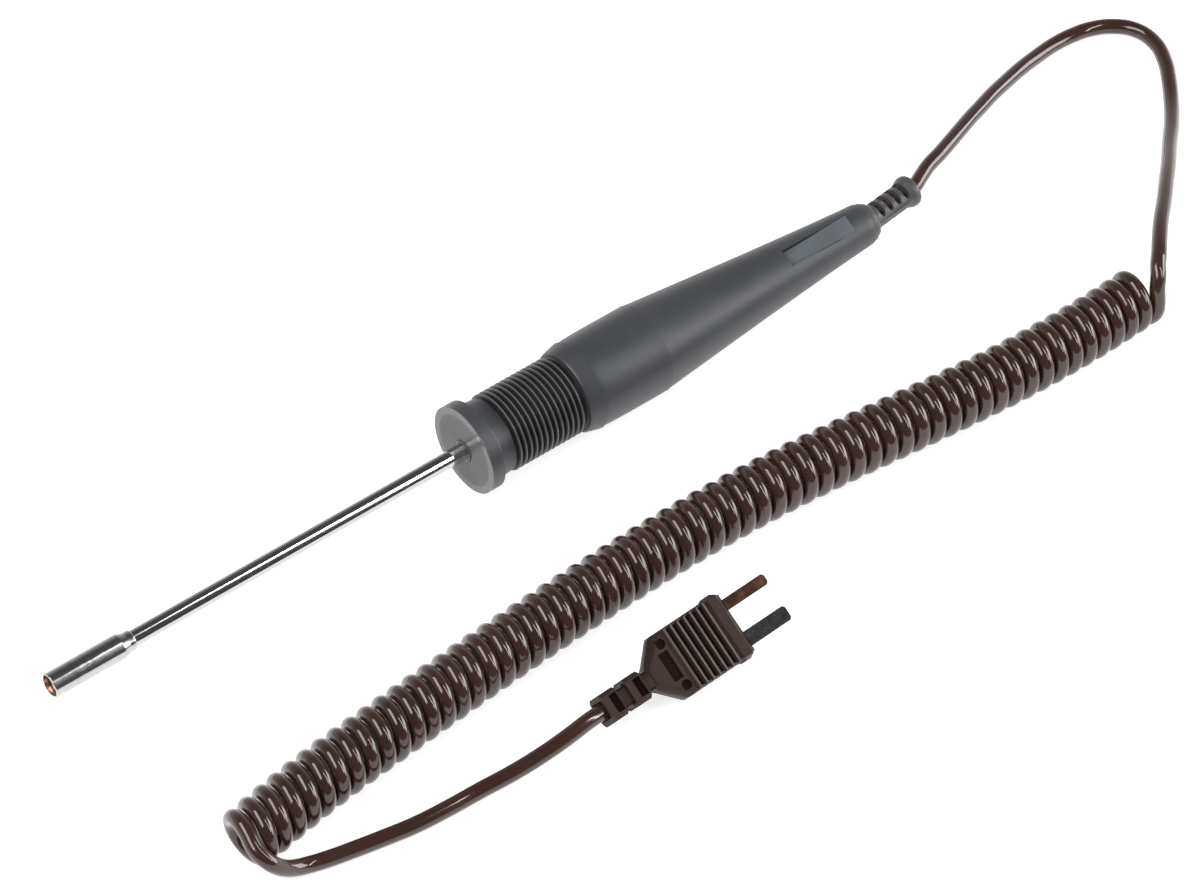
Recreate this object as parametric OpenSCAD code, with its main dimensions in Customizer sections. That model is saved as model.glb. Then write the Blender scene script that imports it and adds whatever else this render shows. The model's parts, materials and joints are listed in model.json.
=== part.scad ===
// Hand-held surface temperature probe: a sprung contact tip on a steel stem, a ribbed handle with a
// guard, and a curly cord that ends in a miniature flat-pin plug.
// The probe lies along X with its tip at -X. The surface that it lies on is z = 0.

/* [Tip] */
// Space between the stem and the inside of the tip sleeve
sleeve_room = 0.5; // [0.45:0.05:1]
// Wall of the tip sleeve
sleeve_wall = 0.4; // [0.3:0.05:1]
// Length of the sleeve's full-diameter barrel
barrel_len = 16.3; // [15:0.1:26]
// Length of the cone between the barrel and the rear collar
shoulder_len = 1.5; // [1:0.1:4]
// Length of the sleeve's rear collar
collar_len = 1.4; // [0.8:0.1:4]
// Wall of the sleeve's rear collar
collar_wall = 0.35; // [0.3:0.01:0.6]
// Width of the bevel on the sleeve's rim
rim_bevel = 0.25; // [0.1:0.05:0.35]
// How far the sensing disc lies behind the rim at rest
disc_recess = 1.0; // [0.4:0.1:2]
// Width of the cap's rim round the sensing disc
disc_rim = 0.32; // [0.2:0.02:0.6]
// Thickness of the sensing disc
disc_t = 0.3; // [0.2:0.05:0.6]
// Length of the insulating cap that carries the disc
holder_len = 4.5; // [3.5:0.1:6]
// Depth of the cap's socket over the end of the stem
holder_socket = 2.0; // [1:0.1:2.5]
// Wire diameter of the tip spring
spring_wire = 0.3; // [0.2:0.02:0.34]
// Turns of the tip spring
spring_turns = 9; // [5:1:10]

/* [Stem] */
// Length of the probe from the rim of the tip to the guard
reach = 100; // [70:1:180]
// Outer diameter of the stem
stem_d = 3.5; // [2.8:0.1:4.4]
// Wall of the stem
stem_wall = 0.4; // [0.3:0.05:0.5]
// Length of the stem inside the handle
stem_root = 22; // [20:1:30]
// Diameter of the bare thermocouple wires
wire_d = 0.5; // [0.2:0.05:0.6]

/* [Handle] */
// Diameter of the handle's cylinder
handle_d = 19.6; // [19:0.2:26]
// Length of the handle, without the cord's relief
handle_len = 104.3; // [100:0.1:150]
// Diameter of the guard disc
guard_d = 19.5; // [18:0.1:19.6]
// Thickness of the guard disc
guard_t = 3.1; // [1.5:0.1:3.5]
// Diameter of the neck behind the guard
neck_d = 16.8; // [16.4:0.1:17.4]
// Number of grip rings
ring_count = 13; // [6:1:20]
// Pitch of the grip rings
ring_pitch = 1.315; // [1:0.005:1.8]
// Diameter over the grip rings
ring_d = 17.2; // [16.8:0.1:18]
// Depth of the grooves between the grip rings
ring_depth = 0.75; // [0.3:0.05:0.8]
// Wall of the handle's shells
wall = 1.8; // [1.4:0.1:2.2]
// Diameter of the rear end of the handle
tail_d = 9.4; // [9:0.1:11]
// Curve of the handle's taper, 1 being straight
taper_power = 1.12; // [1:0.02:1.4]
// Roll of the label about the handle's axis
handle_roll = 22; // [0:1:45]
// Length of the label plate
label_len = 16.9; // [10:0.1:18]
// Width of the label plate
label_w = 3.7; // [2:0.1:3.8]

/* [Cord relief] */
// Length of the relief behind the handle
relief_len = 14.7; // [14:0.1:20]
// Diameter of the relief's slotted neck
relief_d = 5.6; // [5.4:0.1:6.4]
// Diameter of the relief's end collar
relief_end_d = 7; // [6.4:0.1:7.6]
// Number of slots on each side of the relief
slot_count = 4; // [2:1:4]
// Distance between neighbouring slots
slot_pitch = 2.45; // [2:0.05:2.5]
// Angle by which the relief is bent sideways
relief_bend = 7; // [0:0.5:8]

/* [Cord] */
// Diameter of the cord
cord_d = 3.4; // [3:0.1:3.4]
// Diameter of each insulated core
core_d = 1.1; // [0.9:0.05:1.35]
// Outer diameter of the curls
coil_od = 13.2; // [12.6:0.1:14]
// Gap between neighbouring curls
coil_gap = 0.45; // [0.45:0.05:0.7]
// Number of whole curls
coil_turns = 60; // [20:1:60]

/* [Plug] */
// Width of the plug's body
plug_w = 14; // [13.4:0.1:18]
// Thickness of the plug's body over its ribs
plug_t = 6.6; // [6.2:0.1:8]
// Number of grip ribs across the plug
rib_count = 7; // [4:1:10]
// Pitch of the grip ribs
rib_pitch = 1.68; // [1.4:0.02:2.1]
// Depth of the grooves between the grip ribs
rib_depth = 0.8; // [0.3:0.05:0.9]
// Distance between the centres of the two blades
blade_pitch = 7.9; // [6.6:0.05:8.6]
// Width of the narrow blade
narrow_w = 2.4; // [2:0.1:2.6]
// Width of the wide blade
wide_w = 3.2; // [2.8:0.1:3.4]
// Thickness of the blades
blade_t = 0.8; // [0.6:0.05:1]
// Length of the blades in front of the body
blade_len = 11.8; // [10:0.1:14]

/* [Hidden] */
$fn = 96;
// Clearances: between fixed pieces, between the sleeve and the stem, and between stacked faces
fit = 0.05;
running = 0.03;
face_gap = 0.02;

handle_color = "#55585b";
relief_color = "#5b5e61";
steel_color = "#c9ccd0";
copper_color = "#b5693a";
constantan_color = "#5d6468";
brown_color = "#3b2520";
ceramic_color = "#2c2422";
brass_color = "#c9a65a";
shrink_color = "#26282b";

// Along the probe: distances behind the guard's front face, so the tip's are negative
relief_end = handle_len + relief_len;
guard_x = (reach - relief_end) / 2;
axis_z = handle_d / 2;

sleeve_bore = stem_d + 2 * sleeve_room;
sleeve_d = sleeve_bore + 2 * sleeve_wall;
holder_d = sleeve_bore - 0.16;
disc_d = holder_d - 2 * disc_rim;
wire_gap = core_d + 0.2;

rim_at = -reach;
disc_at = rim_at + disc_recess;
holder_end = disc_at + holder_len;
stem_front = holder_end - holder_socket;
bore_end = rim_at + barrel_len;
collar_t = 1.2;
stop_front = bore_end - face_gap - collar_t;
seat_front = holder_end + 0.5;
seat_t = 1.0;
seat_back = seat_front + seat_t;
sleeve_end = bore_end + shoulder_len + collar_len;
stem_hole = stem_d + 2 * running;
collar_d = stem_hole + 2 * collar_wall;
stem_bore = stem_d - 2 * stem_wall;

// Places along the handle
ring_first = 8.1;
ring_last = ring_first + ring_pitch * (ring_count - 1);
cone_start = ring_last + 1.62;
cone_end = cone_start + 3.5;
joint_at = cone_end + 17;
joint_lap = 6;
taper_start = joint_at - 1;
taper_end = handle_len - 0.3;
cavity_end = handle_len - 13;
nose_len = 12;
anchor_len = 6;
anchor_d = stem_d + 4.5;
bush_d = stem_d + 0.8;
bush_head_d = bush_d + 0.4;
bush_proud = 0.25;
bush_seat = 0.4;
rear_bore = cord_d + 3.1;
label_at = handle_len - 13.8;
label_t = 0.6;
label_sink = 0.22;
label_gap = 0.15;
// The relief bends at this place, inside its dome
bend_at = handle_len + 0.6;

// Electrical joints in the handle, one behind the other
splice_len = 7;
splice_d = wire_d + 0.75;
copper_splice_at = stem_root + 10;
constantan_splice_at = copper_splice_at + splice_len + 5;
shrink_from = copper_splice_at - 3;
shrink_end = constantan_splice_at + splice_len + 4;
jacket_from = shrink_end + 5;
jacket_bore = wire_gap + core_d + 2 * fit;
clamp_len = 5;
clamp_d = cord_d + 1.9;
spigot_len = 8;

// Curly cord
coil_pitch = cord_d + coil_gap;
coil_r = (coil_od - cord_d) / 2;
coil_z = coil_od / 2;
coil_right = 129.8;
coil_first = 165;
coil_last = 360 * coil_turns + 115;
coil_steps = 8;

// Plug, in its own frame: +X towards the blades, +Z out of its upper face
plug_at = [4, -66.9, 6.4];
plug_roll = 33;
plug_yaw = 3;
front_x = 1.1;
first_rib = -3.3;
rib_end = first_rib - rib_pitch * (rib_count - 1);
body_back = rib_end - 7.2;
segment_len = 3.7;
segment_gap = 2.3;
plug_relief_back = body_back - 2 * (segment_len + segment_gap);
carrier_len = 9;
carrier_w = blade_pitch + wide_w + 0.9;
carrier_front = -1.5;
crimp_len = 3.2;
crimp_d = 1.7;
blade_root = carrier_front - carrier_len - 1.2;
core_bend = blade_root - crimp_len - 1.2;
plug_jacket_from = body_back + 0.8;

// Outer radius of the rear handle at distance s behind the guard's front
function taper_r(s) = let (t = max(0, (s - taper_start) / (taper_end - taper_start)))
    tail_d / 2 + (handle_d - tail_d) / 2 * pow(1 - min(1, t), taper_power);

// Places the children, drawn along +Z from the guard's front, along the probe's axis
module along_probe() {
    translate([guard_x, 0, axis_z])
        rotate([90, 0, 90])
            children();
}

// Turns the children from upright to the label's side of the handle
module rolled() {
    rotate([0, 0, handle_roll])
        children();
}

module on_plug() {
    translate(plug_at)
        rotate([0, 0, plug_yaw])
            rotate([plug_roll, 0, 0])
                children();
}

module rod(from, to, d) {
    translate([0, 0, from])
        cylinder(d = d, h = to - from);
}

module tube(from, to, outer, bore) {
    difference() {
        rod(from, to, outer);
        rod(from - 1, to + 1, bore);
    }
}

// ---- Swept tubes ----

function unit(v) = v / norm(v);

function heading(path, i) =
    i == 0 ? unit(path[1] - path[0])
    : i == len(path) - 1 ? unit(path[i] - path[i - 1])
    : unit(unit(path[i + 1] - path[i]) + unit(path[i] - path[i - 1]));

function square_to(v, t) = unit(v - (v * t) * t);

// A side direction at each point, carried along the path so that the tube doesn't twist
function side_dirs(path, start) = [
    for (i = 0, s = square_to(start, heading(path, 0)); i < len(path);
         i = i + 1, s = i < len(path) ? square_to(s, heading(path, i)) : s) s];

function ring_points(path, d, sides, start) =
    let (dirs = side_dirs(path, start))
    [for (i = [0 : len(path) - 1])
        let (t = heading(path, i), u = dirs[i], v = cross(t, u))
        for (k = [0 : sides - 1])
            path[i] + d / 2 * (cos(360 * k / sides) * u + sin(360 * k / sides) * v)];

module swept(path, d, sides, start) {
    rings = len(path);
    walls = [for (i = [0 : rings - 2])
        for (k = [0 : sides - 1])
            let (a = i * sides + k, b = i * sides + (k + 1) % sides)
            for (f = [[a, b + sides, b], [a, a + sides, b + sides]]) f];
    front = [for (k = [1 : sides - 2]) [0, k, k + 1]];
    last = (rings - 1) * sides;
    back = [for (k = [1 : sides - 2]) [last, last + k + 1, last + k]];
    polyhedron(points = ring_points(path, d, sides, start), faces = concat(front, walls, back));
}

// ---- Tip ----

module tip_sleeve() {
    outer_r = sleeve_d / 2;
    bore_r = sleeve_bore / 2;
    color(steel_color)
        along_probe()
            rotate_extrude()
                polygon([
                    [bore_r + rim_bevel / 2, rim_at],
                    [outer_r - rim_bevel, rim_at],
                    [outer_r, rim_at + rim_bevel],
                    [outer_r, bore_end],
                    [collar_d / 2, bore_end + shoulder_len],
                    [collar_d / 2, sleeve_end - rim_bevel],
                    [collar_d / 2 - rim_bevel / 2, sleeve_end],
                    [stem_hole / 2, sleeve_end],
                    [stem_hole / 2, bore_end],
                    [bore_r, bore_end],
                    [bore_r, rim_at + rim_bevel / 2]]);
}

module seat_ring() {
    color(brass_color)
        along_probe()
            tube(seat_front, seat_back, sleeve_bore - 2 * face_gap, stem_d + 2 * fit);
}

module contact_disc() {
    color(copper_color)
        along_probe()
            rod(disc_at, disc_at + disc_t, disc_d);
}

module wire_holes(from, to, d) {
    for (side = [-1, 1])
        translate([side * wire_gap / 2, 0, 0])
            rod(from, to, d);
}

module disc_holder() {
    color(ceramic_color)
        along_probe()
            difference() {
                rod(disc_at, holder_end, holder_d);
                rod(disc_at - 1, disc_at + disc_t + face_gap, disc_d + 2 * face_gap);
                rod(stem_front - face_gap, holder_end + 1, stem_d + 2 * face_gap);
                wire_holes(disc_at, stem_front + 1, wire_d + 2 * fit);
            }
}

module stop_collar() {
    color(brass_color)
        along_probe()
            tube(stop_front, stop_front + collar_t, sleeve_bore - 4 * fit, stem_d + 2 * face_gap);
}

module tip_spring() {
    rings_per_turn = 12;
    mean_d = stem_d + spring_wire + 0.18;
    from = seat_back + face_gap + spring_wire / 2;
    to = stop_front - face_gap - spring_wire / 2;
    steps = spring_turns * rings_per_turn;
    path = [for (i = [0 : steps])
        let (a = 360 * i / rings_per_turn)
        [mean_d / 2 * cos(a), mean_d / 2 * sin(a), from + (to - from) * i / steps]];
    color(steel_color)
        along_probe()
            swept(path, spring_wire, 6, [1, 0, 0]);
}

// ---- Stem ----

module thermocouple_wire(side, splice_at) {
    along_probe()
        translate([side * wire_gap / 2, 0, 0])
            rod(disc_at + disc_t + 2 * face_gap, splice_at + splice_len / 2 - face_gap, wire_d);
}

module copper_wire() {
    color(copper_color)
        thermocouple_wire(1, copper_splice_at);
}

module constantan_wire() {
    color(constantan_color)
        thermocouple_wire(-1, constantan_splice_at);
}

module wire_insulator() {
    color(ceramic_color)
        along_probe()
            difference() {
                rod(stem_front + fit, stem_root + 1.5, stem_bore - 2 * fit);
                wire_holes(stem_front - 1, stem_root + 3, wire_d + 2 * face_gap);
            }
}

module stem_tube() {
    color(steel_color)
        along_probe()
            tube(stem_front, stem_root, stem_d, stem_bore);
}

module stem_bush() {
    color(relief_color)
        along_probe()
            difference() {
                union() {
                    rod(-bush_proud, bush_seat - face_gap, bush_head_d);
                    rod(-bush_proud, nose_len - face_gap, bush_d - 2 * fit);
                }
                rod(-bush_proud - 1, nose_len + 1, stem_d + 2 * fit);
            }
}

module stem_anchor() {
    color(brass_color)
        along_probe()
            tube(nose_len + face_gap, nose_len + anchor_len, anchor_d - 2 * fit, stem_d + 2 * face_gap);
}

// ---- Handle ----

// Outline of one grip ring: a narrow round crest that rises from the groove on each side of it
function ring_outline(middle) = [
    for (p = [[-0.34, 0], [-0.2, 0.7], [-0.08, 1], [0.08, 1], [0.2, 0.7], [0.34, 0]])
        [ring_d / 2 - ring_depth * (1 - p[1]), middle + p[0] * ring_pitch]];

module handle_front() {
    edge = 0.15;
    cone_r = ring_d / 2 + 0.15;
    body_r = handle_d / 2;
    lap_r = body_r - wall / 2;
    root_r = ring_d / 2 - ring_depth;
    // The cone swells out to the body, and the body starts a little below the cone's edge
    cone = [for (a = [0 : 15 : 90])
        [cone_r + (body_r - cone_r) * sin(a), cone_end - (cone_end - cone_start) * cos(a)]];
    color(handle_color)
        along_probe()
            rotate_extrude()
                polygon(concat(
                    [[bush_d / 2, bush_seat],
                     [bush_head_d / 2 + 0.1, bush_seat],
                     [bush_head_d / 2 + 0.1, 0],
                     [guard_d / 2 - edge, 0],
                     [guard_d / 2, edge],
                     [guard_d / 2, guard_t - edge],
                     [guard_d / 2 - edge, guard_t],
                     [neck_d / 2 + 0.4, guard_t + 0.05],
                     [neck_d / 2, guard_t + 0.9],
                     [neck_d / 2 - 0.3, ring_first - ring_pitch * 0.75],
                     [root_r, ring_first - ring_pitch / 2]],
                    [for (i = [0 : ring_count - 1]) each ring_outline(ring_first + ring_pitch * i)],
                    [[root_r, cone_start - 0.4]],
                    cone,
                    [[body_r - 0.22, cone_end + 0.14],
                     [body_r - 0.12, cone_end + 1.2],
                     [body_r, cone_end + 6],
                     [body_r, joint_at],
                     [lap_r, joint_at],
                     [lap_r, joint_at - joint_lap],
                     [body_r - wall, joint_at - joint_lap],
                     [body_r - wall, cone_end],
                     [root_r - wall, cone_start],
                     [root_r - wall, nose_len + anchor_len],
                     [anchor_d / 2, nose_len + anchor_len],
                     [anchor_d / 2, nose_len],
                     [bush_d / 2, nose_len]]));
}

// Places the children on the surface where the label lies, tilted with the handle's taper
module at_label() {
    half = label_len / 2;
    slope = atan((taper_r(label_at - half) - taper_r(label_at + half)) / label_len);
    curve = taper_r(label_at) - sqrt(pow(taper_r(label_at), 2) - pow(label_w / 2, 2));
    rolled()
        translate([0, taper_r(label_at) - curve - label_sink, label_at])
            rotate([-slope, 0, 0])
                children();
}

module handle_rear() {
    steps = 12;
    body_r = handle_d / 2;
    stops = [for (i = [0 : steps]) joint_at + (taper_end - joint_at) * i / steps];
    inner = [for (i = [steps : -1 : 0])
        let (s = joint_at + (cavity_end - joint_at) * i / steps) [taper_r(s) - wall, s]];
    color(handle_color)
        along_probe()
            difference() {
                rotate_extrude()
                    polygon(concat(
                        [[body_r - wall, joint_at - joint_lap + face_gap],
                         [body_r - wall / 2 - fit, joint_at - joint_lap + face_gap],
                         [body_r - wall / 2 - fit, joint_at + face_gap]],
                        [for (s = stops) [taper_r(s), s + (s == joint_at ? face_gap : 0)]],
                        [[tail_d / 2 - 0.3, handle_len],
                         [rear_bore / 2, handle_len],
                         [rear_bore / 2, cavity_end]],
                        inner));
                at_label()
                    translate([0, 1, 0])
                        cube([label_w + 2 * label_gap, 2 * label_t + 2, label_len + 2 * label_gap],
                            center = true);
            }
}

module label_plate() {
    color("#8d9297")
        along_probe()
            at_label()
                translate([-label_w / 2, -label_t + face_gap, -label_len / 2])
                    cube([label_w, label_t - face_gap, label_len]);
}

// ---- Cord relief and the cord's held end ----

// Turns the children, drawn along the handle's axis, with the relief's bend
module bent() {
    translate([0, 0, bend_at])
        rotate([0, relief_bend, 0])
            translate([0, 0, -bend_at])
                children();
}

// The path of a piece that runs along the handle at x = side and on through the bent relief
function bent_path(side, from, to) =
    let (reach_on = to - bend_at, half = relief_bend / 2)
    [[side, 0, from],
     [side * cos(half), 0, bend_at - side * sin(half)],
     [side * cos(relief_bend) + reach_on * sin(relief_bend), 0,
      bend_at - side * sin(relief_bend) + reach_on * cos(relief_bend)]];

// One slot across the relief, above and below, that bares the cord's jacket
module relief_slot(at) {
    width = 1.35;
    half_len = relief_d / 2 - 1;
    for (side = [0, 180])
        rotate([0, 0, side])
            translate([0, 0.9, at])
                rotate([-90, 0, 0]) {
                    translate([-half_len, -width / 2, 0])
                        cube([2 * half_len, width, relief_d]);
                    for (end = [-1, 1])
                        translate([end * half_len, 0, 0])
                            cylinder(d = width, h = relief_d, $fn = 48);
                }
}

module cable_relief() {
    neck_r = relief_d / 2;
    end_r = relief_end_d / 2;
    dome_r = tail_d / 2 - 0.3;
    cord_r = cord_d / 2 + fit;
    from = handle_len + face_gap;
    first_slot = handle_len + 4.1;
    bar_w = 1.3;
    bar_proud = 0.1;
    bend_room = 0.08;
    color(relief_color)
        along_probe()
            difference() {
                union() {
                    rotate_extrude()
                        polygon([
                            [0, handle_len - spigot_len],
                            [rear_bore / 2 - fit, handle_len - spigot_len],
                            [rear_bore / 2 - fit, from],
                            [dome_r, from],
                            [dome_r - 0.05, from + 0.9],
                            [dome_r - 0.35, from + 1.1],
                            [dome_r - 0.6, from + 1.9],
                            [dome_r - 0.95, from + 2.2],
                            [dome_r - 1.6, from + 2.6],
                            [0, from + 2.6]]);
                    bent()
                        rotate_extrude()
                            polygon([
                                [0, bend_at],
                                [neck_r + 0.1, bend_at],
                                [neck_r + 0.1, handle_len + 2.9],
                                [neck_r, handle_len + 3.3],
                                [neck_r, relief_end - 3.1],
                                [neck_r + 0.15, relief_end - 2.6],
                                [end_r - 0.15, relief_end - 1.7],
                                [end_r, relief_end - 1.3],
                                [end_r, relief_end - 0.4],
                                [end_r - 0.15, relief_end - 0.1],
                                [end_r - 0.8, relief_end],
                                [0, relief_end]]);
                    bent()
                        translate([-neck_r - bar_proud, -bar_w / 2, handle_len + 1.5])
                            cube([relief_d + 2 * bar_proud, bar_w, relief_len - 3.1]);
                }
                rod(handle_len - spigot_len - 1, bend_at + 0.3, 2 * (cord_r + bend_room));
                bent() {
                    rod(bend_at - 0.3, relief_end + 1, 2 * cord_r);
                    for (i = [0 : slot_count - 1])
                        relief_slot(first_slot + slot_pitch * i);
                }
            }
}

module cord_clamp() {
    color(brass_color)
        along_probe()
            tube(handle_len - spigot_len - clamp_len, handle_len - spigot_len - face_gap,
                clamp_d, cord_d + 2 * face_gap);
}

module cord_inner() {
    color(brown_color)
        along_probe()
            difference() {
                swept(bent_path(0, jacket_from, relief_end), cord_d, 16, [1, 0, 0]);
                swept(bent_path(0, jacket_from - 1, relief_end + 1), jacket_bore, 16, [1, 0, 0]);
            }
}

module splice(side, at) {
    color(brass_color)
        along_probe()
            translate([side * wire_gap / 2, 0, 0])
                difference() {
                    rod(at, at + splice_len, splice_d);
                    rod(at - 1, at + splice_len + 1, wire_d + 2 * face_gap);
                }
}

module copper_splice() {
    splice(1, copper_splice_at);
}

module constantan_splice() {
    splice(-1, constantan_splice_at);
}

module splice_sleeve() {
    bore = wire_gap + splice_d + 4 * fit;
    color(shrink_color)
        along_probe()
            tube(shrink_from, shrink_end, bore + 0.7, bore);
}

// A cord core, whose bare end goes into its crimp barrel
module handle_core(side, splice_at, tint) {
    color(tint)
        along_probe() {
            translate([side * wire_gap / 2, 0, 0])
                rod(splice_at + splice_len / 2 + face_gap, splice_at + splice_len + 1, wire_d);
            swept(bent_path(side * wire_gap / 2, splice_at + splice_len + 0.5, relief_end - face_gap),
                core_d, 12, [1, 0, 0]);
        }
}

module copper_core() {
    handle_core(1, copper_splice_at, brown_color);
}

module constantan_core() {
    handle_core(-1, constantan_splice_at, "#d8d8d2");
}

// ---- Free cord ----

// The coil's middle line bows gently sideways, and turns in at its left end
function coil_y(x) = -45.9 + 3.5 * cos(360 * (x - 5) / 220) + 0.35 * cos(720 * (x - 44) / 220)
    - 1.2 * pow(max(0, -72 - x) / 20, 2);

// A point on the curls at angle a, and the direction that the cord has there
function curl_point(a) = let (x = coil_right - coil_pitch * (a - 90) / 360)
    [x, coil_y(x) + coil_r * cos(a), coil_z + coil_r * sin(a)];
function curl_dir(a) = unit(curl_point(a + 1) - curl_point(a - 1));

coil_start = curl_point(coil_first) - cord_d * curl_dir(coil_first);
coil_end = curl_point(coil_last) + cord_d * curl_dir(coil_last);
curl_rings = round((coil_last - coil_first) / 360 * coil_steps);
coil_path = concat(
    [coil_start],
    [for (i = [0 : curl_rings]) curl_point(coil_first + (coil_last - coil_first) * i / curl_rings)],
    [coil_end]);

lead_dir = [cos(relief_bend), sin(relief_bend), 0];
lead_start = [guard_x + bend_at, 0, axis_z] + (relief_end - bend_at) * lead_dir;
lead_path = concat(
    [lead_start, lead_start + 1.2 * lead_dir],
    [[113.1, 3, 9.8], [117.1, 4.9, 9.7], [121.5, 6.4, 9.4], [126, 8.2, 8.9], [130.5, 10.1, 8.3],
     [135.3, 12.2, 7.5], [140.2, 14.2, 6.6], [145.4, 16.3, 5.7], [150.8, 18.2, 4.7],
     [156.9, 20.2, 3.6], [163, 21.7, 2.7], [169, 22.7, 2.1], [174.5, 22.7, 1.8],
     [179.4, 21.7, 1.7], [183.6, 19.3, 1.7], [186.6, 15.4, 1.7], [187, 9.8, 1.7],
     [184.8, 4.2, 1.7], [181, -1.4, 1.7], [176.8, -6.6, 1.9], [171.4, -12.4, 3.2],
     [165, -18.5, 5.4], [158.8, -24.6, 8], [152.8, -30.2, 10.3], [146.9, -35.7, 12.2],
     [141.3, -40.7, 13.7], [137, -44.9, 14.5], [133.8, -48.2, 14.7], [131.6, -50.4, 14.3],
     [130.4, -51.9, 13.2]],
    [coil_start - 1.2 * curl_dir(coil_first), coil_start]);

plug_dir = [cos(plug_yaw), sin(plug_yaw), 0];
plug_entry = plug_at + plug_relief_back * plug_dir;
tail_path = concat(
    [coil_end, coil_end + 1.2 * curl_dir(coil_last)],
    [[-101, -59.6, 8], [-99.8, -60.3, 6.4], [-98, -60.6, 4.6], [-95.7, -60.7, 3],
     [-92.6, -61, 1.9], [-88.7, -62, 1.7], [-83.4, -63.2, 1.7], [-77.5, -64.4, 1.7],
     [-71.4, -65.5, 1.7], [-64.4, -66.1, 1.7], [-56.3, -66.5, 1.8], [-49, -67.8, 3.1],
     [-42, -68.8, 4.8], [-36.8, -69, 5.8]],
    [plug_entry - cord_d * plug_dir, plug_entry]);

module cord_lead() {
    color(brown_color)
        swept(lead_path, cord_d, 8, [0, 0, 1]);
}

module cord_coil() {
    color(brown_color)
        swept(coil_path, cord_d, 6, [1, 0, 0]);
}

module cord_tail() {
    color(brown_color)
        swept(tail_path, cord_d, 8, [1, 0, 0]);
}

// Least distance between the curls' surfaces, over points from half a curl to two curls apart
curl_gap = min([for (i = [0 : len(coil_path) - 1])
    for (j = [i + 4 : min(i + 16, len(coil_path) - 1)])
        norm(coil_path[i] - coil_path[j])]) - cord_d;
function path_len(path) =
    let (steps = [for (i = [1 : len(path) - 1]) norm(path[i] - path[i - 1])])
    steps * [for (s = steps) 1];
echo(least_gap_between_curls = curl_gap);
echo(lead = path_len(lead_path), coil = path_len(coil_path), tail = path_len(tail_path));

// ---- Plug ----

// Saw-toothed edge at height top: a crest at each rib, with grooves of the given depth between
function ribbed_edge(top, depth) = [
    for (i = [0 : rib_count - 1])
        let (x = first_rib - rib_pitch * i)
        for (p = [[x + 0.18, top], [x - 0.18, top], [x - 0.6, top - depth],
                  [x - rib_pitch + 0.6, top - depth]])
            if (i < rib_count - 1 || p[1] == top) p];

function mirrored(half) = concat(half, [for (i = [len(half) - 1 : -1 : 0]) [half[i][0], -half[i][1]]]);

module plug_plan() {
    side = plug_w / 2;
    polygon(mirrored(concat(
        [[front_x, side - 0.5],
         [0.2, side - 0.4],
         [0, side + 0.4],
         [-1.2, side + 0.4],
         [-1.7, side - 0.3],
         [first_rib + 0.6, side - 0.5]],
        ribbed_edge(side, 0.5),
        [[rib_end - 1, side],
         [rib_end - 2.3, side],
         [rib_end - 3, side - 0.4],
         [body_back + 0.3, 2.75],
         [body_back, 2.5]])));
}

module plug_elevation() {
    top = plug_t / 2;
    polygon(mirrored(concat(
        [[front_x, top - 1],
         [0, top],
         [first_rib + 1.2, top],
         [first_rib + 0.7, top - 0.5]],
        ribbed_edge(top, rib_depth),
        [[rib_end - 0.7, top - 0.4],
         [rib_end - 4.2, top - 0.5],
         [body_back, top - 0.9]])));
}

module plug_section() {
    side = plug_w / 2 + 0.4;
    top = plug_t / 2;
    polygon([for (p = [[1, 0.35], [0.9, 1], [-0.9, 1], [-1, 0.35], [-1, -0.35], [-0.9, -1],
        [0.9, -1], [1, -0.35]]) [p[0] * side, p[1] * top]]);
}

// Wide bevels that thin the body towards its rear edges, above and below
module plug_rear_bevels() {
    rim = 1.3;
    from = [body_back + 0.3, 2.75];
    along = [rib_end - 3, plug_w / 2 - 0.4] - from;
    for (side = [0, 1])
        for (face = [0, 1])
            mirror([0, side, 0])
                mirror([0, 0, face])
                    translate([from[0], from[1], rim])
                        rotate([0, 0, atan2(along[1], along[0])])
                            rotate([35, 0, 0])
                                translate([-3, 0, 0])
                                    cube([norm(along) + 8, 6, 8]);
}

// One block of the plug's relief, with bevelled edges
module relief_segment(front) {
    side = 3.05;
    top = 2.9;
    bevel = 0.8;
    translate([front - segment_len, 0, 0])
        rotate([90, 0, 90])
            linear_extrude(segment_len)
                polygon([for (p = [[1, 1], [-1, 1], [-1, -1], [1, -1]])
                    for (q = p[0] * p[1] > 0 ? [[1, 0], [0, 1]] : [[0, 1], [1, 0]])
                        [p[0] * (side - bevel * q[1]), p[1] * (top - bevel * q[0])]]);
}

// The blocks stand in a row on a slim neck that runs back from the body
module plug_relief_bar() {
    neck_w = 5.4;
    neck_t = 4.4;
    intersection() {
        translate([plug_relief_back, 0, 0])
            rotate([0, 90, 0])
                cylinder(d = neck_w, h = body_back + 1 - plug_relief_back);
        translate([plug_relief_back - 1, -neck_w, -neck_t / 2])
            cube([body_back + 3 - plug_relief_back, 2 * neck_w, neck_t]);
    }
    for (i = [1, 2])
        relief_segment(body_back - i * segment_gap - (i - 1) * segment_len);
}

module plug_relief_cuts() {
    notch_d = 2.8;
    pocket_len = 1.8;
    pocket_w = 3.9;
    pocket_floor = cord_d / 2 + 0.3;
    for (x = [body_back - segment_gap / 2, body_back - 1.5 * segment_gap - segment_len])
        for (side = [-1, 1])
            translate([x, side * 3.4, -4])
                cylinder(d = notch_d, h = 8, $fn = 48);
    for (i = [1, 2])
        for (face = [0, 180])
            rotate([face, 0, 0])
                translate([body_back - i * segment_gap - (i - 1) * segment_len - 0.3 - pocket_len,
                        -pocket_w / 2, pocket_floor])
                    cube([pocket_len, pocket_w, 3]);
}

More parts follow.
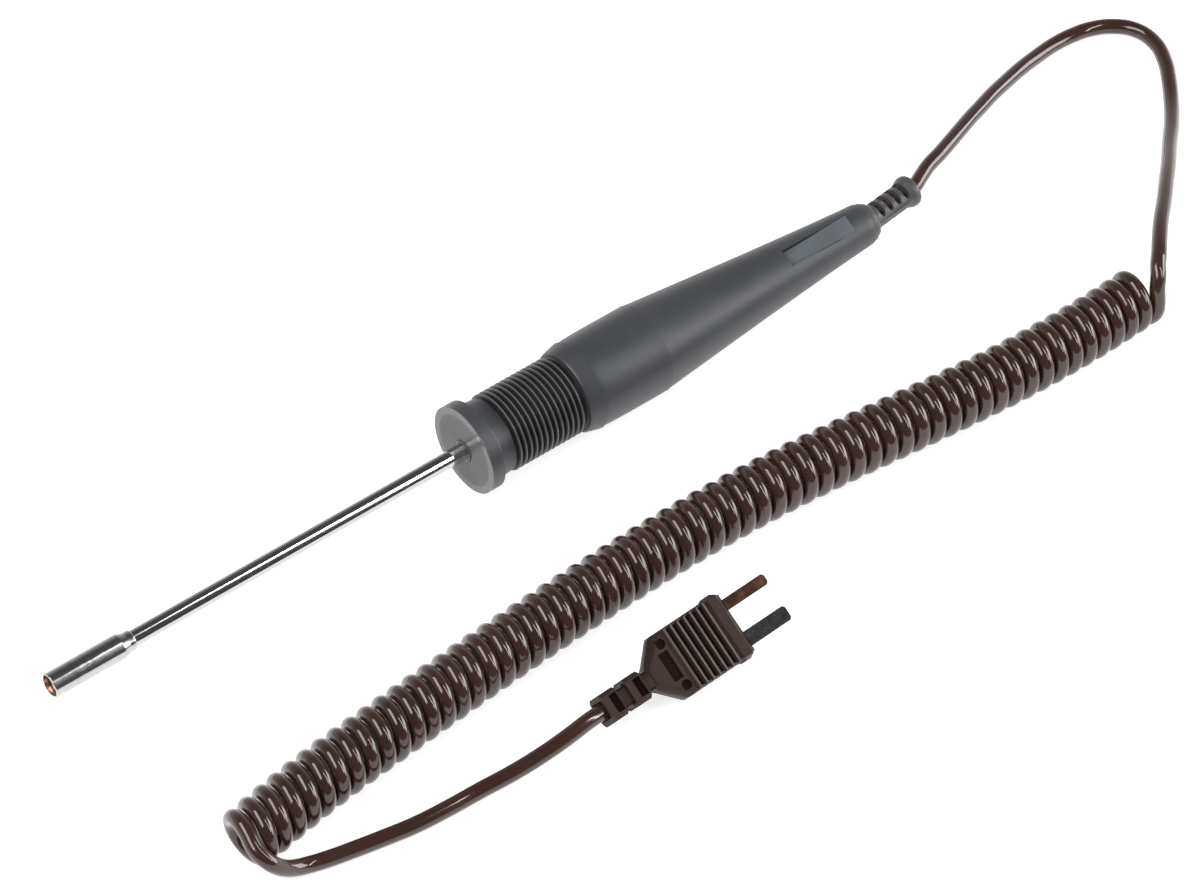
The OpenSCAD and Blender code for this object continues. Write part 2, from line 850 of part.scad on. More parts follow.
// Two round dimples and a bare rectangular recess in the upper face, behind the ribs
module plug_face_marks() {
    face_z = plug_t / 2 - 0.4;
    for (side = [-1, 1])
        translate([rib_end - 2.2, side * 4.7, face_z - 0.35])
            cylinder(d = 2.2, h = 1, $fn = 48);
    translate([rib_end - 4, -3.1, face_z - 0.4])
        cube([2.3, 6.2, 1]);
}

// The path of one core from its crimp, in towards the cord's jacket
function plug_core_path(side) =
    let (crimp_y = side * blade_pitch / 2, inner_y = side * wire_gap / 2)
    [[blade_root - crimp_len, crimp_y, 0],
     [core_bend, crimp_y, 0],
     [core_bend - 1.2, (2 * crimp_y + inner_y) / 3, 0],
     [plug_jacket_from + 1.6, (crimp_y + 5 * inner_y) / 6, 0],
     [plug_jacket_from + 0.4, inner_y, 0],
     [plug_relief_back + 1, inner_y, 0]];

module plug_core_shape(side, d) {
    swept(plug_core_path(side), d, 8, [0, 0, 1]);
}

module plug_carrier_block(grow) {
    size = [carrier_len, carrier_w, plug_t - 2.8];
    translate([carrier_front - carrier_len - grow, -size[1] / 2 - grow, -size[2] / 2 - grow])
        cube(size + 2 * [grow, grow, grow]);
}

module plug_crimp_shape(side, d) {
    translate([blade_root - crimp_len, side * blade_pitch / 2, 0])
        rotate([0, 90, 0])
            cylinder(d = d, h = crimp_len - face_gap, $fn = 48);
}

// A flat blade with bevelled corners at its tip
module blade_shape(side, width, grow) {
    tip = front_x + blade_len;
    corner = 0.5;
    translate([0, side * blade_pitch / 2, -blade_t / 2 - grow])
        linear_extrude(blade_t + 2 * grow)
            polygon([
                [blade_root, -width / 2 - grow],
                [tip - corner, -width / 2 - grow],
                [tip, -width / 2 - grow + corner],
                [tip, width / 2 + grow - corner],
                [tip - corner, width / 2 + grow],
                [blade_root, width / 2 + grow]]);
}

module plug_jacket(d, from) {
    translate([from, 0, 0])
        rotate([0, 90, 0])
            cylinder(d = d, h = plug_jacket_from - from);
}

module plug_body() {
    color(brown_color)
        on_plug()
            difference() {
                union() {
                    difference() {
                        intersection() {
                            translate([0, 0, -plug_t])
                                linear_extrude(2 * plug_t)
                                    plug_plan();
                            translate([0, plug_w, 0])
                                rotate([90, 0, 0])
                                    linear_extrude(2 * plug_w)
                                        plug_elevation();
                            translate([body_back - 1, 0, 0])
                                rotate([90, 0, 90])
                                    linear_extrude(front_x - body_back + 2)
                                        plug_section();
                        }
                        plug_rear_bevels();
                    }
                    plug_relief_bar();
                }
                plug_relief_cuts();
                plug_face_marks();
                plug_carrier_block(face_gap);
                blade_shape(1, narrow_w, face_gap);
                blade_shape(-1, wide_w, face_gap);
                for (side = [-1, 1]) {
                    plug_crimp_shape(side, crimp_d + 2 * fit);
                    plug_core_shape(side, core_d + 2 * fit);
                }
                plug_jacket(cord_d + 2 * fit, plug_relief_back - 1);
            }
}

module plug_carrier() {
    color(ceramic_color)
        on_plug()
            difference() {
                plug_carrier_block(0);
                blade_shape(1, narrow_w, face_gap);
                blade_shape(-1, wide_w, face_gap);
            }
}

module copper_blade() {
    color(copper_color)
        on_plug()
            blade_shape(1, narrow_w, 0);
}

module constantan_blade() {
    color(constantan_color)
        on_plug()
            blade_shape(-1, wide_w, 0);
}

module plug_crimp(side) {
    color(brass_color)
        on_plug()
            difference() {
                plug_crimp_shape(side, crimp_d);
                translate([blade_root - crimp_len - 1, side * blade_pitch / 2, 0])
                    rotate([0, 90, 0])
                        cylinder(d = wire_d + 2 * face_gap, h = crimp_len + 2, $fn = 48);
            }
}

module copper_crimp() {
    plug_crimp(1);
}

module constantan_crimp() {
    plug_crimp(-1);
}

// A core in the plug, whose bare end goes into its crimp
module plug_core(side, tint) {
    color(tint)
        on_plug() {
            plug_core_shape(side, core_d);
            translate([blade_root - crimp_len - 0.4, side * blade_pitch / 2, 0])
                rotate([0, 90, 0])
                    cylinder(d = wire_d, h = crimp_len / 2, $fn = 48);
        }
}

module copper_plug_core() {
    plug_core(1, brown_color);
}

module constantan_plug_core() {
    plug_core(-1, "#d8d8d2");
}

module plug_cord_end() {
    color(brown_color)
        on_plug()
            difference() {
                plug_jacket(cord_d, plug_relief_back);
                plug_jacket(jacket_bore, plug_relief_back - 1);
                translate([plug_jacket_from - 1, 0, 0])
                    rotate([0, 90, 0])
                        cylinder(d = jacket_bore, h = 2);
            }
}

tip_sleeve();
seat_ring();
contact_disc();
disc_holder();
tip_spring();
stop_collar();
copper_wire();
constantan_wire();
wire_insulator();
stem_tube();
stem_bush();
stem_anchor();
handle_front();
handle_rear();
label_plate();
cable_relief();
cord_clamp();
cord_inner();
copper_splice();
constantan_splice();
splice_sleeve();
copper_core();
constantan_core();
cord_lead();
cord_coil();
cord_tail();
plug_body();
plug_carrier();
copper_blade();
constantan_blade();
copper_crimp();
constantan_crimp();
copper_plug_core();
constantan_plug_core();
plug_cord_end();
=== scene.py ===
# %% [markdown]
# # A surface temperature probe, modelled in Blender
#
# The object is a hand-held probe: a steel stem with a sprung contact tip, a grey plastic handle with a
# guard and grip rings, a long curly cord and a miniature plug with two flat blades.
# Its engineering model is loaded first and stays where it is. Everything that is modelled here is built
# around it, in metres, in the same coordinates: the probe lies along X with its tip at -X, and the
# surface that it lies on is z = 0.

# %% Load the engineering model
import json
import math

import bmesh
import bpy
from mathutils import Matrix, Vector


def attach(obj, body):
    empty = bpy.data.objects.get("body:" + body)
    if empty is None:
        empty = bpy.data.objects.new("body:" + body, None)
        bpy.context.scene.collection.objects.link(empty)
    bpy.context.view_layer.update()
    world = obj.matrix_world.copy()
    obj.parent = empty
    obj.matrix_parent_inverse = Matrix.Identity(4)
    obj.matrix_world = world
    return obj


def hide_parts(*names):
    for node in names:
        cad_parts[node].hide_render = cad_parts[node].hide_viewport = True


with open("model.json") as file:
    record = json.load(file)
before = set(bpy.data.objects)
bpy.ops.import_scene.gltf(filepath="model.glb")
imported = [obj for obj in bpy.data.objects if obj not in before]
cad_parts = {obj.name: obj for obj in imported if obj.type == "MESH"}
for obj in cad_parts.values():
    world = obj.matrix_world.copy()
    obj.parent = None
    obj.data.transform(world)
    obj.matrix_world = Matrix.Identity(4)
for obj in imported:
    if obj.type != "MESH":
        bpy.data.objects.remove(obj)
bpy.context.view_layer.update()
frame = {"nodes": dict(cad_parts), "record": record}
print("engineering pieces:", len(frame["nodes"]))

# %% Units and the probe's axis
MM = 0.001
GUARD_X = -9.5
AXIS_Z = 9.8


def at(x, y, z):
    """A point given in millimetres, as Blender wants it, in metres"""
    return Vector((x, y, z)) * MM


def along(s, r):
    """A point at distance s behind the guard's face, and r above the probe's axis"""
    return at(GUARD_X + s, 0, AXIS_Z + r)


print("the guard's front face is at x =", GUARD_X, "mm")

# %% [markdown]
# ## Camera
#
# A long lens from far away keeps the parallel lines of a slim object nearly parallel. A camera could be
# aimed with a Track To constraint, but three angles are enough and are easy to read back: the pitch from
# straight down, no roll, and the turn about the vertical.

# %% Camera
camera_data = bpy.data.cameras.new("view_lens")
camera_data.lens = 157.5
camera_data.sensor_width = 36.0
camera_data.clip_start = 0.05
camera_data.clip_end = 50.0
camera = bpy.data.objects.new("view_camera", camera_data)
camera.location = at(-433.41, -580.65, 775.56)
camera.rotation_euler = (math.radians(43.2), 0.0, math.radians(-38.3))
bpy.context.scene.collection.objects.link(camera)
bpy.context.scene.camera = camera
print("camera distance:", round(camera.location.length, 3), "m")

# %% [markdown]
# ## The cord's route
#
# The cord is one length of jacketed wire: it leaves the handle, sags to the table, turns round and winds
# into sixty curls, then runs on to the plug. A curly cord could be a screw modifier on a circle, but then
# its two straight ends would be separate pieces with seams. One curve object keeps it whole, and the
# points can be worked out curl by curl.

# %% The curls' middle line
CORD_D = 3.4
CURLS = 60
COIL_R, COIL_PITCH = 4.9, 3.85
COIL_TOP_X, COIL_Y, COIL_Z = 129.8, -45.9, 6.6
BOW, BOW_X, BOW_SPAN = 3.5, 5, 220
RIPPLE, RIPPLE_X = 0.35, 44
END_BEND, END_BEND_X, END_BEND_SPAN = 1.2, -72, 20
FIRST_ANGLE = 165
LAST_ANGLE = 360 * CURLS + 115
POINTS_PER_CURL = 16


def coil_y(x):
    """Where the coil's middle line lies across, at x: a long bow, a small ripple and a bent end"""
    bow = BOW * math.cos(math.radians(360 * (x - BOW_X) / BOW_SPAN))
    ripple = RIPPLE * math.cos(math.radians(720 * (x - RIPPLE_X) / BOW_SPAN))
    end_bend = END_BEND * (max(0.0, END_BEND_X - x) / END_BEND_SPAN) ** 2
    return COIL_Y + bow + ripple - end_bend


def curl_point(angle):
    """The cord's centre on the curls, in millimetres, at an angle in degrees"""
    x = COIL_TOP_X - COIL_PITCH * (angle - 90) / 360
    a = math.radians(angle)
    return Vector((x, coil_y(x) + COIL_R * math.cos(a), COIL_Z + COIL_R * math.sin(a)))


def curl_direction(angle):
    """The way that the cord runs at that angle"""
    return (curl_point(angle + 1) - curl_point(angle - 1)).normalized()


coil_start = curl_point(FIRST_ANGLE) - CORD_D * curl_direction(FIRST_ANGLE)
coil_end = curl_point(LAST_ANGLE) + CORD_D * curl_direction(LAST_ANGLE)
ALL_TURNS = LAST_ANGLE - FIRST_ANGLE
curl_steps = round(ALL_TURNS / 360 * POINTS_PER_CURL)
coil_points = [curl_point(FIRST_ANGLE + ALL_TURNS * i / curl_steps) for i in range(curl_steps + 1)]
print("points on the curls:", len(coil_points))

# %% The lead from the handle and the tail to the plug
RELIEF_BEND = math.radians(7)
BEND_S = 104.9
RELIEF_END_S = 119.0
STRAIGHT_START = 1.2
lead_direction = Vector((math.cos(RELIEF_BEND), math.sin(RELIEF_BEND), 0))
lead_start = Vector((GUARD_X + BEND_S, 0, AXIS_Z)) + (RELIEF_END_S - BEND_S) * lead_direction
lead_points = [lead_start, lead_start + STRAIGHT_START * lead_direction] + [Vector(p) for p in (
    (113.1, 3, 9.8), (117.1, 4.9, 9.7), (121.5, 6.4, 9.4), (126, 8.2, 8.9), (130.5, 10.1, 8.3),
    (135.3, 12.2, 7.5), (140.2, 14.2, 6.6), (145.4, 16.3, 5.7), (150.8, 18.2, 4.7),
    (156.9, 20.2, 3.6), (163, 21.7, 2.7), (169, 22.7, 2.1), (174.5, 22.7, 1.8),
    (179.4, 21.7, 1.7), (183.6, 19.3, 1.7), (186.6, 15.4, 1.7), (187, 9.8, 1.7),
    (184.8, 4.2, 1.7), (181, -1.4, 1.7), (176.8, -6.6, 1.9), (171.4, -12.4, 3.2),
    (165, -18.5, 5.4), (158.8, -24.6, 8), (152.8, -30.2, 10.3), (146.9, -35.7, 12.2),
    (141.3, -40.7, 13.7), (137, -44.9, 14.5), (133.8, -48.2, 14.7), (131.6, -50.4, 14.3),
    (130.4, -51.9, 13.2))]

PLUG_AT = Vector((4, -66.9, 6.4))
PLUG_YAW = math.radians(3)
PLUG_ROLL = math.radians(33)
PLUG_BACK = 32.58
plug_direction = Vector((math.cos(PLUG_YAW), math.sin(PLUG_YAW), 0))
plug_entry = PLUG_AT - PLUG_BACK * plug_direction
tail_points = [Vector(p) for p in (
    (-101, -59.6, 8), (-99.8, -60.3, 6.4), (-98, -60.6, 4.6), (-95.7, -60.7, 3),
    (-92.6, -61, 1.9), (-88.7, -62, 1.7), (-83.4, -63.2, 1.7), (-77.5, -64.4, 1.7),
    (-71.4, -65.5, 1.7), (-64.4, -66.1, 1.7), (-56.3, -66.5, 1.8), (-49, -67.8, 3.1),
    (-42, -68.8, 4.8), (-36.8, -69, 5.8))]
cord_points = (
    lead_points + [coil_start] + coil_points + [coil_end] + tail_points
    + [plug_entry - CORD_D * plug_direction, plug_entry])
cord_length = sum((b - a).length for a, b in zip(cord_points, cord_points[1:])) * MM
print("cord length:", round(cord_length, 3), "m")

# %% [markdown]
# ### One curve for the whole cord
#
# A curve takes its thickness from its bevel depth times the radius at each point. Blender also makes the
# curve's bounding box larger by that radius alone, and it is 1 metre unless it is set. So here the depth
# is 1 and the points carry the cord's real radius, and the box stays true. A mesh tube would do as
# well, but a curve can still be pulled about by its points.

# %% Cord
cord_curve = bpy.data.curves.new("curly_cord", "CURVE")
cord_curve.dimensions = "3D"
cord_curve.bevel_depth = 1.0
cord_curve.bevel_resolution = 7
cord_curve.resolution_u = 4
cord_curve.use_fill_caps = True
spline = cord_curve.splines.new("BEZIER")
spline.bezier_points.add(len(cord_points) - 1)
for knot, place in zip(spline.bezier_points, cord_points):
    knot.co = place * MM
    knot.radius = CORD_D / 2 * MM
    knot.handle_left_type = knot.handle_right_type = "AUTO"
cord = bpy.data.objects.new("curly_cord", cord_curve)
bpy.context.scene.collection.objects.link(cord)
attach(cord, "probe")
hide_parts("cord_lead", "cord_coil", "cord_tail")
print("cord made of", len(cord_points), "points")

# %% [markdown]
# ## Floor and light
#
# Small things for a catalogue stand on a light table: a white sheet that glows a little from below, so
# undersides stay readable and no hard shadow falls. The room above it is nearly dark, because polished
# steel and glossy cord only look right where something dark is mirrored beside something bright.
# A narrow strip lamp draws the thin white line along the stem, with a wider, dimmer one behind it that
# softens the line's edges. Two soft boxes open up the ends, and the wall behind glows a little towards
# its foot. A studio could also be built from emitting planes, but area lamps are quicker to render.

# %% Floor
floor_mesh = bpy.data.meshes.new("floor")
shape = bmesh.new()
bmesh.ops.create_grid(shape, x_segments=1, y_segments=1, size=3.0)
shape.to_mesh(floor_mesh)
shape.free()
floor = bpy.data.objects.new("floor", floor_mesh)
bpy.context.scene.collection.objects.link(floor)

floor_paint = bpy.data.materials.new("light_table")
floor_paint.use_nodes = True
floor_shader = floor_paint.node_tree.nodes["Principled BSDF"]
floor_shader.inputs["Base Color"].default_value = (0.62, 0.62, 0.62, 1.0)
floor_shader.inputs["Roughness"].default_value = 0.9
floor_shader.inputs["Specular IOR Level"].default_value = 0.0
floor_shader.inputs["Emission Color"].default_value = (1.0, 1.0, 1.0, 1.0)
floor_shader.inputs["Emission Strength"].default_value = 0.74
floor_mesh.materials.append(floor_paint)
print("floor size:", tuple(round(s, 1) for s in floor.dimensions))


# %% Lamps
def soft_lamp(name, place, target, size, power, long_way=None):
    """An area lamp at place that faces target. Its long side runs as near as can be to long_way"""
    facing = (Vector(place) - Vector(target)).normalized()
    if long_way is None:
        turn = facing.to_track_quat("Z", "Y").to_matrix()
    else:
        across = (Vector(long_way) - facing * facing.dot(Vector(long_way))).normalized()
        turn = Matrix((across, facing.cross(across), facing)).transposed()
    lamp_data = bpy.data.lights.new(name, "AREA")
    lamp_data.shape = "RECTANGLE"
    lamp_data.size, lamp_data.size_y = size
    lamp_data.energy = power
    lamp = bpy.data.objects.new(name, lamp_data)
    lamp.location = place
    lamp.rotation_euler = turn.to_euler()
    bpy.context.scene.collection.objects.link(lamp)


MIDDLE, STEM_ROOT = (0.0, 0.0, 0.0), (-0.04, 0.0, 0.01)
STRIP_WAY = (0.275, -0.790, -0.545)
soft_lamp("key_core", (0.330, -0.540, 0.620), STEM_ROOT, (0.66, 0.045), 1.6, STRIP_WAY)
soft_lamp("key_edge", (0.337, -0.552, 0.635), STEM_ROOT, (0.70, 0.105), 0.5, STRIP_WAY)
soft_lamp("left_lamp", (-0.92, 0.10, 1.42), MIDDLE, (1.7, 0.8), 24, (0.35, 1.0, 0.0))
soft_lamp("right_lamp", (1.45, -0.75, 0.50), MIDDLE, (1.3, 0.8), 20)

# %% Room
WALL_GLOW = ((0.0, 0.80), (0.33, 0.42), (0.56, 0.17), (0.8, 0.0))
ROOM_GLOW = 0.09
studio = bpy.data.worlds.new("studio")
studio.use_nodes = True
bpy.context.scene.world = studio
room = studio.node_tree
looking = room.nodes.new("ShaderNodeSeparateXYZ")
room.links.new(room.nodes.new("ShaderNodeTexCoord").outputs["Generated"], looking.inputs["Vector"])
wall_glow = room.nodes.new("ShaderNodeValToRGB")
for height, _ in WALL_GLOW[1:-1]:
    wall_glow.color_ramp.elements.new(height)
for element, (height, glow) in zip(wall_glow.color_ramp.elements, WALL_GLOW):
    element.position = height
    element.color = (glow, glow, glow, 1.0)
room.links.new(looking.outputs["Z"], wall_glow.inputs["Fac"])
wall_side = room.nodes.new("ShaderNodeMapRange")
wall_side.interpolation_type = "SMOOTHSTEP"
wall_side.inputs["From Min"].default_value = -0.15
wall_side.inputs["From Max"].default_value = 0.40
room.links.new(looking.outputs["Y"], wall_side.inputs["Value"])
wall_light = room.nodes.new("ShaderNodeMath")
wall_light.operation = "MULTIPLY_ADD"
wall_light.inputs[2].default_value = ROOM_GLOW
room.links.new(wall_glow.outputs["Color"], wall_light.inputs[0])
room.links.new(wall_side.outputs["Result"], wall_light.inputs[1])
room.links.new(wall_light.outputs["Value"], room.nodes["Background"].inputs["Color"])
room.nodes["Background"].inputs["Strength"].default_value = 1.0
bpy.context.scene.view_settings.view_transform = "Standard"
print("view transform:", bpy.context.scene.view_settings.view_transform)

# %% [markdown]
# ## Helpers for the pieces
#
# Most of the probe is turned or moulded round one axis, so an outline is drawn once as points at a
# distance along the axis and a radius, and bmesh spins it. The spin is a full turn, so its last ring is
# merged with its first. No real edge is quite sharp, and a sharp one would never catch the light, so the
# outlines turn their corners in short steps of a few hundredths of a millimetre. A Bevel modifier could
# round them too, but then the steps would have the same width everywhere. The Weighted Normal modifier
# keeps the broad faces evenly shaded up to those narrow steps.

# %% Finished piece
TURN = 2 * math.pi
SAME_POINT = 1e-7
made_pieces = []


def finished_piece(name, shape, body, slot, nodes, sharp=35.0):
    """Turns a bmesh into an object that stands for the given engineering nodes"""
    for face in shape.faces:
        face.smooth = True
    for edge in shape.edges:
        edge.smooth = edge.calc_face_angle(0.0) < math.radians(sharp)
    mesh = bpy.data.meshes.new(name)
    shape.to_mesh(mesh)
    shape.free()
    piece = bpy.data.objects.new(name, mesh)
    bpy.context.scene.collection.objects.link(piece)
    even_shading = piece.modifiers.new("even_shading", "WEIGHTED_NORMAL")
    even_shading.keep_sharp = True
    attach(piece, body)
    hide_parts(*nodes)
    made_pieces.append((piece, slot))
    print(name, "has", len(mesh.polygons), "faces")
    return piece


# %% Turned shape
def turned_shape(outline, closed=True, steps=128):
    """Spins an outline of (distance, radius) about the probe's axis"""
    shape = bmesh.new()
    corners = [shape.verts.new(along(s, r)) for s, r in outline]
    ends = corners[1:] + corners[:1] if closed else corners[1:]
    sides = [shape.edges.new(pair) for pair in zip(corners, ends)]
    bmesh.ops.spin(shape, geom=corners + sides, cent=at(0, 0, AXIS_Z), axis=(1, 0, 0), angle=TURN,
                   steps=steps, use_merge=True)
    bmesh.ops.remove_doubles(shape, verts=shape.verts, dist=SAME_POINT)
    bmesh.ops.recalc_face_normals(shape, faces=shape.faces)
    return shape


print("one full spin:", round(TURN, 3), "radians")

# %% [markdown]
# ## The tip and the stem
#
# The sensing tip is a thin steel sleeve that slides back on the stem when it is pressed on a surface.
# It was turned from bar: a straight barrel, a short cone and a collar that runs on the stem. The copper
# disc sits a millimetre behind the sleeve's rim. Each is one outline and one spin.

# %% Tip sleeve
BORE_R, BARREL_R, COLLAR_R, STEM_HOLE_R = 2.25, 2.65, 2.13, 1.78
RIM_S, SHOULDER_S, COLLAR_S, SLEEVE_END_S = -100.0, -83.7, -82.2, -80.8
sleeve_outline = [
    (RIM_S + 0.13, BORE_R), (RIM_S, BORE_R + 0.1), (RIM_S, BARREL_R - 0.2),
    (RIM_S + 0.06, BARREL_R - 0.08), (RIM_S + 0.18, BARREL_R), (SHOULDER_S - 0.08, BARREL_R),
    (SHOULDER_S + 0.04, BARREL_R - 0.03), (COLLAR_S - 0.06, COLLAR_R + 0.03), (COLLAR_S + 0.06, COLLAR_R),
    (SLEEVE_END_S - 0.26, COLLAR_R), (SLEEVE_END_S - 0.08, COLLAR_R - 0.06),
    (SLEEVE_END_S, COLLAR_R - 0.16), (SLEEVE_END_S, STEM_HOLE_R), (SHOULDER_S, STEM_HOLE_R),
    (SHOULDER_S, BORE_R)]
tip_piece = finished_piece(
    "turned_sleeve", turned_shape(sleeve_outline), "tip_shroud", "steel", ["tip_sleeve"])

# %% Sensing disc
DISC_S, DISC_T, DISC_R = RIM_S + 1.0, 0.3, 1.85
disc_outline = [
    (DISC_S, 0.0), (DISC_S, DISC_R - 0.65), (DISC_S + 0.02, DISC_R - 0.25), (DISC_S + 0.08, DISC_R - 0.05),
    (DISC_S + 0.2, DISC_R), (DISC_S + DISC_T, DISC_R), (DISC_S + DISC_T, 0.0)]
disc_piece = finished_piece(
    "sensing_disc", turned_shape(disc_outline, closed=False, steps=64), "probe", "copper", ["contact_disc"])

# %% Stem and its bush
STEM_R, STEM_WALL, STEM_FROM_S, STEM_TO_S = 1.75, 0.4, -96.5, 22.0
BUSH_HOLE_R, BUSH_R, BUSH_HEAD_R = 1.8, 2.1, 2.35
BUSH_FACE_S, BUSH_HEAD_END_S, BUSH_END_S = -0.25, 0.38, 11.98
finished_piece(
    "drawn_stem",
    turned_shape([(STEM_FROM_S, STEM_R - STEM_WALL), (STEM_FROM_S, STEM_R), (STEM_TO_S, STEM_R),
                  (STEM_TO_S, STEM_R - STEM_WALL)]),
    "probe", "steel", ["stem_tube"])
finished_piece(
    "stem_collar",
    turned_shape([(BUSH_FACE_S, BUSH_HOLE_R), (BUSH_FACE_S, BUSH_HEAD_R - 0.1),
                  (BUSH_FACE_S + 0.05, BUSH_HEAD_R - 0.02), (BUSH_FACE_S + 0.15, BUSH_HEAD_R),
                  (BUSH_HEAD_END_S, BUSH_HEAD_R), (BUSH_HEAD_END_S, BUSH_R), (BUSH_END_S, BUSH_R),
                  (BUSH_END_S, BUSH_HOLE_R)]),
    "probe", "relief_rubber", ["stem_bush"])

# %% [markdown]
# ## The handle's front half
#
# One moulding: a flat guard disc, a slightly dished neck, thirteen grip rings, a swelling cone and a plain
# cylinder. The rings could be an array of thin tori, but on the real moulding they flow out of the
# grooves, so each is a small bump in the one outline. Its crest is narrow, which is why it shines as a
# thin line. Behind the cone the outline dips by a quarter of a millimetre and rises again over six: that
# dip is what draws the faint crease round the handle.

# %% Grip rings in the outline
RING_FIRST, RING_PITCH, RING_COUNT = 8.1, 1.315, 13
RING_R, RING_DEPTH = 8.6, 0.75
ROOT_R = RING_R - RING_DEPTH
HALF_CREST = [(0.05, 0.98), (0.10, 0.91), (0.16, 0.70), (0.22, 0.36), (0.29, 0.08), (0.36, 0.0)]
CREST = [(-u, rise) for u, rise in reversed(HALF_CREST)] + [(0.0, 1.0)] + HALF_CREST
ring_outline = [(RING_FIRST + RING_PITCH * (i + u), ROOT_R + RING_DEPTH * rise)
                for i in range(RING_COUNT) for u, rise in CREST]
print("points on the rings:", len(ring_outline))

# %% Cone in the outline
LAST_GROOVE, CONE_LEN = 1.62, 3.5
CONE_START = RING_FIRST + RING_PITCH * (RING_COUNT - 1) + LAST_GROOVE
CONE_END = CONE_START + CONE_LEN
CONE_R, BODY_R = RING_R + 0.15, 9.8
cone_outline = [(CONE_START, CONE_R), (CONE_START + 0.5, CONE_R + 0.34), (CONE_END, BODY_R)]
print("cone from", round(CONE_START, 2), "to", round(CONE_END, 2))

# %% Handle, front half
CYLINDER_LEN, JOINT_LAP, WALL = 17, 6, 1.8
JOINT_S = CONE_END + CYLINDER_LEN
LAP_R = BODY_R - WALL / 2
GUARD_R, GUARD_T, NECK_R = 9.75, 3.1, 8.4
BUSH_BORE_R, BUSH_SEAT_S = 2.15, 0.12
NOSE_S, ANCHOR_R, ANCHOR_END_S = 12, 4, 18
front_outline = (
    [(BUSH_SEAT_S, BUSH_BORE_R), (BUSH_SEAT_S, BUSH_BORE_R + 0.25), (0.0, BUSH_BORE_R + 0.3),
     (0.0, GUARD_R - 0.03), (0.03, GUARD_R),
     (GUARD_T - 0.16, GUARD_R), (GUARD_T - 0.05, GUARD_R - 0.05), (GUARD_T, GUARD_R - 0.16),
     (GUARD_T + 0.03, NECK_R + 0.5), (GUARD_T + 0.15, NECK_R + 0.25), (GUARD_T + 0.45, NECK_R + 0.06),
     (GUARD_T + 0.9, NECK_R), (GUARD_T + 2.2, NECK_R - 0.12),
     (RING_FIRST - RING_PITCH * 0.8, NECK_R - 0.28), (RING_FIRST - RING_PITCH * 0.7, NECK_R - 0.36),
     (RING_FIRST - RING_PITCH * 0.6, ROOT_R + 0.03)]
    + ring_outline
    + [(CONE_START - 0.5, ROOT_R), (CONE_START - 0.1, ROOT_R + 0.05), (CONE_START, ROOT_R + 0.2)]
    + cone_outline
    + [(CONE_END + 0.03, BODY_R - 0.02), (CONE_END + 0.10, BODY_R - 0.27), (CONE_END + 0.5, BODY_R - 0.22),
       (CONE_END + 1.5, BODY_R - 0.12), (CONE_END + 3.5, BODY_R - 0.04), (CONE_END + 6, BODY_R),
       (JOINT_S - 0.03, BODY_R), (JOINT_S, BODY_R - 0.03), (JOINT_S, LAP_R), (JOINT_S - JOINT_LAP, LAP_R),
       (JOINT_S - JOINT_LAP, BODY_R - WALL), (CONE_END, BODY_R - WALL), (CONE_START, ROOT_R - WALL),
       (ANCHOR_END_S, ROOT_R - WALL), (ANCHOR_END_S, ANCHOR_R), (NOSE_S, ANCHOR_R), (NOSE_S, BUSH_BORE_R)])
finished_piece("grip_half", turned_shape(front_outline, steps=160), "probe", "handle_plastic",
               ["handle_front"], sharp=32)

# %% [markdown]
# ## The handle's rear half
#
# It tapers to the cord in a gentle curve. The taper is a power curve, which starts almost parallel and
# steepens towards the cord. A shallow pocket for the label is cut into its side, and because the spun
# surface is round, the pocket is cut with a Boolean rather than by moving points.

# %% Taper
TAPER_START, TAPER_END, HANDLE_END = JOINT_S - 1, 104.0, 104.3
TAIL_R, TAPER_POWER = 4.7, 1.12


def taper_r(s):
    """Radius of the rear half at distance s"""
    t = min(1.0, max(0.0, (s - TAPER_START) / (TAPER_END - TAPER_START)))
    return TAIL_R + (BODY_R - TAIL_R) * (1 - t) ** TAPER_POWER


print("radius half way:", round(taper_r(75), 2), "mm")


# %% Places on the probe
def probe_frame():
    """Local x, y and z are the world's y, z and x, as when the probe stands on its guard"""
    return Matrix.Translation(at(GUARD_X, 0, AXIS_Z)) @ Matrix(
        ((0, 0, 1, 0), (1, 0, 0, 0), (0, 1, 0, 0), (0, 0, 0, 1)))


LABEL_S, LABEL_LEN, LABEL_W, LABEL_SINK, LABEL_T = HANDLE_END - 13.8, 16.9, 3.7, 0.22, 0.6
LABEL_TURN, POCKET_GAP = math.radians(22), 0.3
half_label = LABEL_LEN / 2
label_slope = math.atan((taper_r(LABEL_S - half_label) - taper_r(LABEL_S + half_label)) / LABEL_LEN)
label_curve = taper_r(LABEL_S) - math.sqrt(taper_r(LABEL_S) ** 2 - (LABEL_W / 2) ** 2)
label_frame = (
    probe_frame() @ Matrix.Rotation(LABEL_TURN, 4, "Z")
    @ Matrix.Translation(at(0, taper_r(LABEL_S) - label_curve - LABEL_SINK, LABEL_S))
    @ Matrix.Rotation(-label_slope, 4, "X"))
print("label slope:", round(math.degrees(label_slope), 2), "degrees")


# %% Block
def block_shape(size, place, frame_matrix, round_mm=0.0):
    """A rectangular block in millimetres, with its middle at place, in the given frame"""
    shape = bmesh.new()
    bmesh.ops.create_cube(shape, size=1.0)
    bmesh.ops.scale(shape, vec=at(*size), verts=shape.verts)
    bmesh.ops.translate(shape, vec=at(*place), verts=shape.verts)
    if round_mm:
        bmesh.ops.bevel(shape, geom=list(shape.edges), offset=round_mm * MM, offset_type="OFFSET",
                        segments=3, profile=0.5, affect="EDGES", clamp_overlap=True, material=-1)
    bmesh.ops.transform(shape, matrix=frame_matrix, verts=shape.verts)
    return shape


